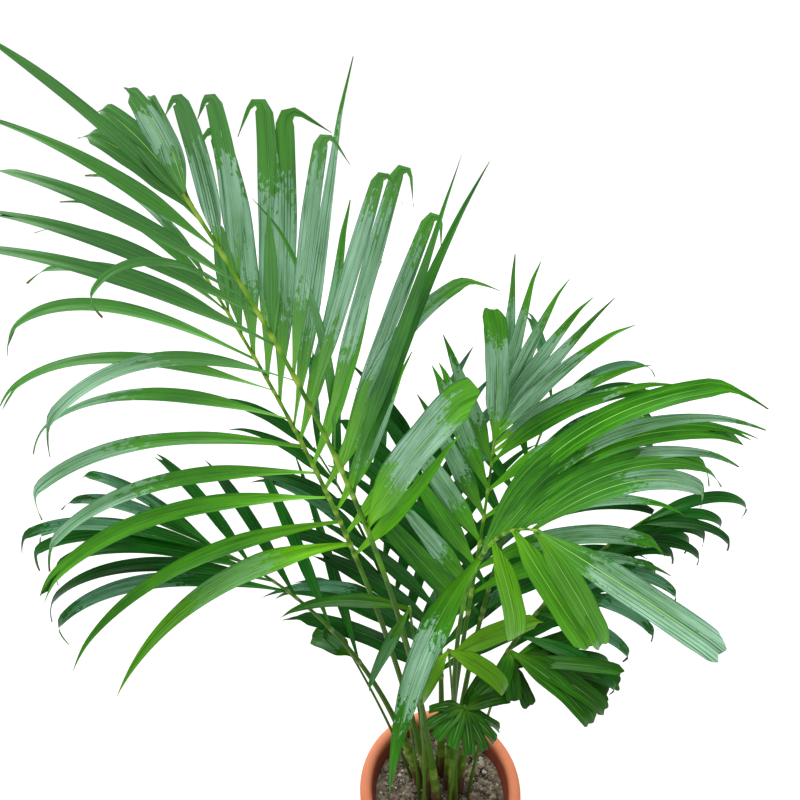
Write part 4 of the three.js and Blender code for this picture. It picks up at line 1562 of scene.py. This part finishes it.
@dataclass
class Soil:
    """The earth in the pot: a lumpy top, loose crumbs and pale chips."""

    pot: Pot
    feet: list[Pair]
    rings: int = 84
    spokes: int = 220
    lump: float = 0.0068
    crumbs: int = 520
    chips: int = 110
    seed: int = 11
    clear: float = 0.0095  # how far from a stem's middle the crumbs keep

    def reach(self) -> float:
        """The radius of the top, just inside the pot's wall."""
        return self.pot.inside(SOIL_TOP - 0.003) - 0.0004

    def height_at(self, x: float, y: float) -> float:
        """The height of the top at a place on it.

        Args:
            x: Metres.
            y: Metres.

        Returns:
            Metres above the ground.
        """
        place = Vector((x, y, 0.0))
        broad = noise.noise(place * 30)
        lumps = noise.fractal(place * 80, 0.7, 2.1, 4)
        grains = noise.noise(place * 420 + Vector((5, 2, 1)))
        heap = sum(math.exp(-math.hypot(x - fx, y - fy) / 0.012) for fx, fy in self.feet)
        return (SOIL_TOP + self.lump * (0.7 * broad + 0.75 * lumps + 0.16 * grains)
                + 0.0022 * min(1.5, heap) - 0.0015)

    def build_top(self, finish: bpy.types.Material) -> bpy.types.Object:
        """Makes the earth: a lumpy disc over a plain plug that fills the pot.

        Args:
            finish: Its material.

        Returns:
            The new object.
        """
        rows = []
        for r in range(1, self.rings + 1):
            radius = self.reach() * r / self.rings
            row = []
            for k in range(self.spokes):
                angle = 2 * math.pi * k / self.spokes
                x, y = radius * math.cos(angle), radius * math.sin(angle)
                row.append((x, y, self.height_at(x, y)))
            rows.append(row)
        for height in (SOIL_TOP - 0.02, 0.12, self.pot.floor + 0.0006):
            radius = self.pot.inside(height) - 0.0006
            rows.append([(radius * math.cos(2 * math.pi * k / self.spokes),
                          radius * math.sin(2 * math.pi * k / self.spokes), height)
                         for k in range(self.spokes)])
        rings = np.array(rows)
        value = np.zeros_like(rings)
        draft = Draft()
        draft.skin(rings, value, value)
        piece = draft.piece("soil_bed", finish, "soil", sharp=70)
        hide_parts("soil")
        return piece

    def scatter(self, rng: np.random.Generator, count: int) -> list[Pair]:
        """Places on the top that keep off the stems.

        Args:
            rng: Where the chances come from.
            count: How many places.

        Returns:
            Pairs of X and Y.
        """
        found: list[Pair] = []
        while len(found) < count:
            radius = self.reach() * 0.97 * math.sqrt(rng.random())
            angle = rng.random() * 2 * math.pi
            x, y = radius * math.cos(angle), radius * math.sin(angle)
            if all(math.hypot(x - fx, y - fy) > self.clear for fx, fy in self.feet):
                found.append((x, y))
        return found

    def build_pieces(self, name: str, finish: bpy.types.Material, count: int, size: Pair,
                     flat: Pair, seed: int) -> bpy.types.Object:
        """Strews crumbs or chips over the top as one piece.

        Args:
            name: The piece's name.
            finish: Its material.
            count: How many crumbs.
            size: The smallest and the largest radius.
            flat: The least and the greatest height, as a share of the radius.
            seed: The seed of their places and shapes.

        Returns:
            The new object.
        """
        rng = np.random.default_rng(seed)
        ball = bmesh.new()
        bmesh.ops.create_icosphere(ball, subdivisions=2, radius=1.0)
        unit = np.array([v.co for v in ball.verts])
        faces = [tuple(v.index for v in f.verts) for f in ball.faces]
        ball.free()
        draft = Draft()
        for x, y in self.scatter(rng, count):
            radius = size[0] + (size[1] - size[0]) * rng.random() ** 2.5
            stretch = np.array([1, 0.55 + 0.45 * rng.random(), lerp(flat, rng.random())])
            offset = Vector(rng.random(3) * 40)
            lumpy = np.array([1 + 0.75 * noise.noise(Vector(p) * 1.7 + offset) for p in unit])
            shape = np.round(unit * lumpy[:, None] * 2.6) / 2.6 * 0.35 + unit * lumpy[:, None] * 0.65
            shape = shape * stretch * radius
            turn, tilt = rng.random() * math.tau, (rng.random() - 0.5) * 0.9
            spin = np.array([[math.cos(turn), -math.sin(turn), 0],
                             [math.sin(turn), math.cos(turn), 0], [0, 0, 1]])
            lean = np.array([[math.cos(tilt), 0, math.sin(tilt)], [0, 1, 0],
                             [-math.sin(tilt), 0, math.cos(tilt)]])
            shape = shape @ (spin @ lean).T
            rest = self.height_at(x, y) + radius * stretch[2] * 0.35
            points = shape + np.array([x, y, rest])
            draft.solid(points, faces, (0, 0, rng.random() ** 2), np.zeros((len(points), 3)))
        return draft.piece(name, finish, "soil", sharp=28)


# ---- the studio ----
@dataclass(frozen=True)
class Studio:
    """A pale floor, soft light and the camera. None of it is part of the plant."""

    floor_size: float = 120.0
    camera_place: Triple = (-0.062, -0.557, 1.319)
    camera_tilt: float = 56.0
    view: float = 60.0
    sky: float = 0.55
    sky_seen: float = 1.2
    sun: float = 2.3
    sun_spread: float = 50
    sun_turn: Pair = (-22, -24)
    middle: Triple = (0.0, 0.0, 0.8)
    softbox_place: Triple = (0.3, 2.4, 2.9)
    softbox_size: float = 2.2
    softbox_power: float = 45

    def build_floor(self) -> None:
        """Lays the plain pale floor."""
        mesh = bpy.data.meshes.new("floor")
        half = self.floor_size / 2
        mesh.from_pydata([(-half, -half, 0), (half, -half, 0), (half, half, 0), (-half, half, 0)],
                         [], [(0, 1, 2, 3)])
        p = Palette("floor_paint")
        cloud = p.noise(p.object_place(0.7), 1.0, 2.0)
        mesh.materials.append(p.finish(p.blend(cloud, (0.90, 0.90, 0.90), (0.93, 0.93, 0.93)),
                                       0.9, Specular_IOR_Level=0.1))
        floor = bpy.data.objects.new("floor", mesh)
        bpy.context.scene.collection.objects.link(floor)
        floor.location.z = -0.0005

    def build_sky(self) -> None:
        """Lights the scene evenly from all round, and looks white to the camera."""
        world = bpy.data.worlds.new("studio")
        world.use_nodes = True
        nodes, links = world.node_tree.nodes, world.node_tree.links
        seen = nodes.new("ShaderNodeLightPath").outputs["Is Camera Ray"]
        strength = nodes.new("ShaderNodeMapRange")
        strength.inputs["To Min"].default_value = self.sky
        strength.inputs["To Max"].default_value = self.sky_seen
        links.new(seen, strength.inputs["Value"])
        links.new(strength.outputs[0], nodes["Background"].inputs["Strength"])
        nodes["Background"].inputs["Color"].default_value = (1.0, 1.0, 1.0, 1.0)
        bpy.context.scene.world = world

    def build_light(self, name: str, place: Triple, aim: Triple, size: float,
                    power: float, tint: Colour = (1.0, 1.0, 1.0)) -> None:
        """Hangs one square softbox that faces a point.

        Args:
            name: The light's name.
            place: Where it hangs.
            aim: The point that it faces.
            size: The length of its side.
            power: Its power in watts.
            tint: Its colour.
        """
        light = bpy.data.lights.new(name, "AREA")
        light.shape = "SQUARE"
        light.size = size
        light.energy = power
        light.color = tint
        lamp = bpy.data.objects.new(name, light)
        lamp.location = place
        lamp.rotation_euler = (Vector(aim) - Vector(place)).to_track_quat("-Z", "Y").to_euler()
        bpy.context.scene.collection.objects.link(lamp)

    def build_sun(self, power: float, spread: float) -> None:
        """Hangs one very soft overhead light that reaches the whole floor evenly.

        Args:
            power: Its strength.
            spread: Its width as seen from the floor, in degrees.
        """
        light = bpy.data.lights.new("ceiling", "SUN")
        light.energy = power
        light.angle = math.radians(spread)
        lamp = bpy.data.objects.new("ceiling", light)
        lamp.rotation_euler = (math.radians(self.sun_turn[0]), math.radians(self.sun_turn[1]), 0)
        bpy.context.scene.collection.objects.link(lamp)

    def build_camera(self) -> None:
        """Sets up the camera, looking down at the plant."""
        data = bpy.data.cameras.new("camera")
        data.sensor_width = 36.0
        data.angle = math.radians(self.view)
        data.clip_end = 200.0
        camera = bpy.data.objects.new("camera", data)
        camera.location = self.camera_place
        camera.rotation_euler = (math.radians(self.camera_tilt), 0, 0)
        bpy.context.scene.collection.objects.link(camera)
        bpy.context.scene.camera = camera

    def build(self) -> None:
        """Builds the floor, the lights and the camera."""
        self.build_floor()
        self.build_sky()
        self.build_sun(self.sun, self.sun_spread)
        self.build_light("back_softbox", self.softbox_place, self.middle, self.softbox_size,
                         self.softbox_power)
        self.build_camera()
        scene = bpy.context.scene
        scene.view_settings.view_transform = "Standard"
        scene.view_settings.look = "None"


# ---- the whole part ----
# SUNLIT and SHADED are lit and shaded copies of one leaf colouring: the SHADED fronds at the back are
# painted darker, as shade.
BLADE_FINISHES = {
    Tone.SUNLIT: BladeFinish(
        "frond_skin", deep=(0.004, 0.110, 0.003), fresh=(0.085, 0.45, 0.004),
        base=(0.22, 0.66, 0.005), film=(0.46, 0.77, 0.58), grey_sheen=(0.120, 0.32, 0.120),
        rib=(0.40, 0.80, 0.16)),
    Tone.SHADED: BladeFinish(
        "painted_shade_skin", deep=(0.001, 0.035, 0.003), fresh=(0.010, 0.18, 0.008),
        base=(0.04, 0.28, 0.008), film=(0.17, 0.42, 0.27), grey_sheen=(0.050, 0.19, 0.065),
        rib=(0.16, 0.40, 0.12)),
    Tone.SEEDLING: BladeFinish(
        "seedling_skin", deep=(0.003, 0.050, 0.001), fresh=(0.022, 0.20, 0.003),
        base=(0.17, 0.44, 0.005), film=(0.16, 0.36, 0.18), grey_sheen=(0.04, 0.16, 0.03),
        rib=(0.28, 0.52, 0.16)),
}
# The SHADED stalks are painted darker in the same way, as shade.
STALK_FINISHES = {
    Tone.SUNLIT: StalkFinish("painted_light_stalk_skin", top=(0.15, 0.42, 0.012),
                             under=(0.04, 0.15, 0.008), swelling=(0.42, 0.62, 0.08)),
    Tone.SHADED: StalkFinish("painted_shade_stalk_skin", top=(0.07, 0.19, 0.015),
                             under=(0.025, 0.09, 0.008), swelling=(0.22, 0.34, 0.08)),
    Tone.SEEDLING: StalkFinish("seedling_stalk_skin", top=(0.09, 0.22, 0.015),
                               under=(0.03, 0.10, 0.008), swelling=(0.26, 0.36, 0.08)),
}


def main() -> None:
    """Builds the pot, the soil, every leaf and the studio, in that order."""
    logging.basicConfig(level=logging.INFO, format="%(name)s: %(message)s")
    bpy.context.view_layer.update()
    pot = Pot()
    pot.build(ClayFinish().build())
    soil = Soil(pot, [leaf.foot for leaf in LEAVES])
    bed = EarthFinish("soil_earth", dark=(0.022, 0.018, 0.011), middle=(0.21, 0.172, 0.12),
                      light=(0.46, 0.40, 0.30))
    soil.build_top(bed.build())
    crumb = EarthFinish("soil_crumb", dark=(0.040, 0.031, 0.020), middle=(0.19, 0.155, 0.11),
                        light=(0.42, 0.365, 0.275), scale=320.0)
    soil.build_pieces("soil_crumbs", crumb.build(), soil.crumbs, (0.0010, 0.0075), (0.40, 0.7),
                      soil.seed)
    chip = EarthFinish("soil_chip", dark=(0.20, 0.17, 0.12), middle=(0.42, 0.38, 0.30),
                       light=(0.62, 0.58, 0.48), scale=260.0)
    soil.build_pieces("soil_chips", chip.build(), soil.chips, (0.0015, 0.0046), (0.25, 0.5),
                      soil.seed + 1)
    blade_skins = {tone: finish.build() for tone, finish in BLADE_FINISHES.items()}
    stalk_skins = {tone: finish.build() for tone, finish in STALK_FINISHES.items()}
    stem_skin = StemFinish("stem_skin").build()
    for number, leaf in enumerate(LEAVES):
        palm_leaf = PalmLeaf(leaf, number)
        palm_leaf.build_blades(blade_skins[leaf.tone])
        palm_leaf.build_stalk(stalk_skins[leaf.tone])
        if leaf.tone is not Tone.SEEDLING:
            palm_leaf.build_stem(stem_skin)
    Studio().build()


if __name__ == "__main__":
    main()
